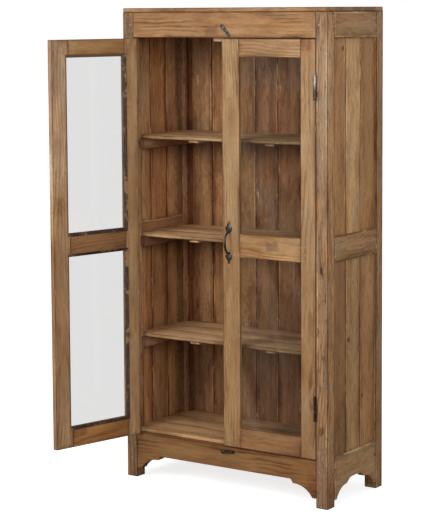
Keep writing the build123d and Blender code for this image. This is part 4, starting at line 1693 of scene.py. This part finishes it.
@dataclass
class Studio:
    """A pale floor, a white surround, soft lamps and the camera.

    Attributes:
        camera_place: Where the photograph was taken from.
        yaw: How far the camera is turned to the left, in degrees.
        pitch: How far it looks up.
        roll: How far it leans.
        lens: Its focal length, in millimetres on a sensor 36 wide.
        shift_y: How far its picture is shifted.
        world_light: How bright the surround is as a light.
        room: What shines shows of the room in front.
        paned: How bright the backdrop is behind glass, so that the tinted panes stay a pale grey.
        floor_size: The length of the floor's side.
        floor_matt: The floor's own colour to the camera.
        floor_glow: How much light it adds there.
        floor_bounce: Its colour to the light that falls on the cabinet from below.
        floor_shine: What shines shows of it.
        lamps: For each lamp, where it stands, what it looks at, its size and its power.
    """

    camera_place: Vector = field(default_factory=lambda: Vector((3.655, -5.586, 1.789)))
    yaw: float = 34.39
    pitch: float = -5.37
    roll: float = -0.35
    lens: float = 124.26
    shift_y: float = -0.155
    world_light: float = 0.5
    room: Colour = (0.12, 0.12, 0.12)
    paned: float = 1.09
    floor_size: float = 60.0
    floor_matt: Colour = (0.72, 0.72, 0.72)
    floor_glow: float = 0.75
    floor_bounce: Colour = (0.35, 0.35, 0.35)
    floor_shine: Colour = (0.10, 0.085, 0.07)
    lamps: tuple[tuple[Place, Place, float, float], ...] = (
        ((-1.0, -4.4, 2.6), (0.0, 0.0, 1.2), 2.4, 118.0),
        ((3.9, -3.4, 2.4), (0.2, 0.0, 1.0), 2.0, 68.0),
    )

    def build(self) -> None:
        """Makes the surround, the lamps and the camera."""
        self.make_floor()
        self.make_world()
        for place, target, size, power in self.lamps:
            self.make_lamp(Vector(place), Vector(target), size, power)
        self.make_camera()
        bpy.context.scene.view_settings.view_transform = "Standard"

    def make_floor(self) -> None:
        """Lays the floor. It looks white to the camera, and keeps the cabinet's shadow."""
        half = self.floor_size / 2
        data = bpy.data.meshes.new("floor")
        corners = [(x * half, y * half, 0.0) for x, y in ((-1, -1), (1, -1), (1, 1), (-1, 1))]
        data.from_pydata(corners, [], [(0, 1, 2, 3)])
        floor = add_object("floor", data)
        material, s, unused = new_material("pale floor")
        material.node_tree.nodes.remove(unused)
        path = s.node("LightPath").outputs
        matt = s.fill(s.node("BsdfDiffuse"), Color=rgba(self.floor_matt))
        glow = s.fill(s.node("Emission"), Strength=self.floor_glow)
        white = s.row(s.node("AddShader"), matt.outputs[0], glow.outputs[0])
        bounced = s.mix(path["Is Glossy Ray"], self.floor_bounce, self.floor_shine)
        dim = s.fill(s.node("BsdfDiffuse"), Color=bounced)
        straight = s.choose(path["Is Camera Ray"], dim.outputs[0], white.outputs[0])
        blank = s.fill(s.node("Emission"), Strength=self.paned)
        show(material, s, s.choose(self.paned_view(s), straight, blank.outputs[0]))
        data.materials.append(material)

    def paned_view(self, s: Sketch) -> Socket:
        """Tells what the camera sees straight through glass from what is mirrored there.

        Args:
            s: A sketch on the material or the surround that is looked at.

        Returns:
            The socket of a value: 1 straight through glass, and 0 elsewhere.
        """
        path = s.node("LightPath").outputs
        bounces = s.plus(path["Glossy Depth"], path["Diffuse Depth"])
        return s.times(path["Is Transmission Ray"], s.math("LESS_THAN", bounces, 0.5))

    def make_world(self) -> None:
        """Lights the surround, which is plain white where it is looked at.

        What shines shows the white backdrop behind the cabinet, and the dim room in front of it.
        """
        world = bpy.data.worlds.new("surround")
        bpy.context.scene.world = world
        world.use_nodes = True
        world.node_tree.nodes.clear()
        s = Sketch(world.node_tree)
        path = s.node("LightPath").outputs
        paned = self.paned_view(s)
        ahead = s.parts(s.node("TexCoord").outputs["Generated"])[1]
        shone = s.mix(s.step(ahead, -0.1, 0.3), self.room, WHITE)
        light, room, white = (
            s.row(s.node("Background"), colour, strength).outputs[0]
            for colour, strength in (
                (rgba(WHITE), self.world_light),
                (shone, None),
                (rgba(WHITE), s.scaled(paned, self.paned - 1.0, 1.0)),
            )
        )
        lighting = s.choose(path["Is Glossy Ray"], light, room)
        seen = s.choose(s.largest(path["Is Camera Ray"], paned), lighting, white)
        s.row(s.node("OutputWorld"), seen)

    def make_lamp(self, place: Vector, target: Vector, size: float, power: float) -> None:
        """Hangs one soft square lamp.

        Args:
            place: Where it stands.
            target: What it looks at.
            size: The length of its side.
            power: Its power in watts.
        """
        data = bpy.data.lights.new("lamp", "AREA")
        data.shape = "SQUARE"
        data.size = size
        data.energy = power
        lamp = add_object("lamp", data)
        lamp.location = place
        lamp.rotation_euler = (target - place).to_track_quat("-Z", "Y").to_euler()

    def make_camera(self) -> None:
        """Sets the camera where the photograph was taken from."""
        data = bpy.data.cameras.new("camera")
        data.sensor_width = 36.0
        data.lens = self.lens
        data.shift_y = self.shift_y
        data.clip_end = 200.0
        yaw, pitch, roll = (math.radians(angle) for angle in (self.yaw, self.pitch, self.roll))
        level = Vector((math.cos(yaw), math.sin(yaw), 0.0))
        ahead = Vector((-math.sin(yaw), math.cos(yaw), 0.0)) * math.cos(pitch)
        ahead.z = math.sin(pitch)
        upright = level.cross(ahead)
        right = level * math.cos(roll) + upright * math.sin(roll)
        up = upright * math.cos(roll) - level * math.sin(roll)
        turn = Matrix((right, up, -ahead)).transposed().to_4x4()
        camera = add_object("camera", data)
        camera.matrix_world = Matrix.Translation(self.camera_place) @ turn
        bpy.context.scene.camera = camera


def main() -> None:
    """Builds the cabinet's looks in order."""
    logging.basicConfig(level=logging.INFO, format="%(name)s: %(message)s")
    Case().build()
    Inside().build()
    for side in SIDES:
        Door(side).build()
    for node in ("hinge_frame_leaves", "hinge_pins"):
        dress(node, Finish.HINGE)
    for node in ("top_turn_button", "bottom_turn_button"):
        dress(node, Finish.IRON)
    Handle().build()
    Fixings().build()
    Studio().build()
    bpy.context.view_layer.update()


if __name__ == "__main__":
    main()
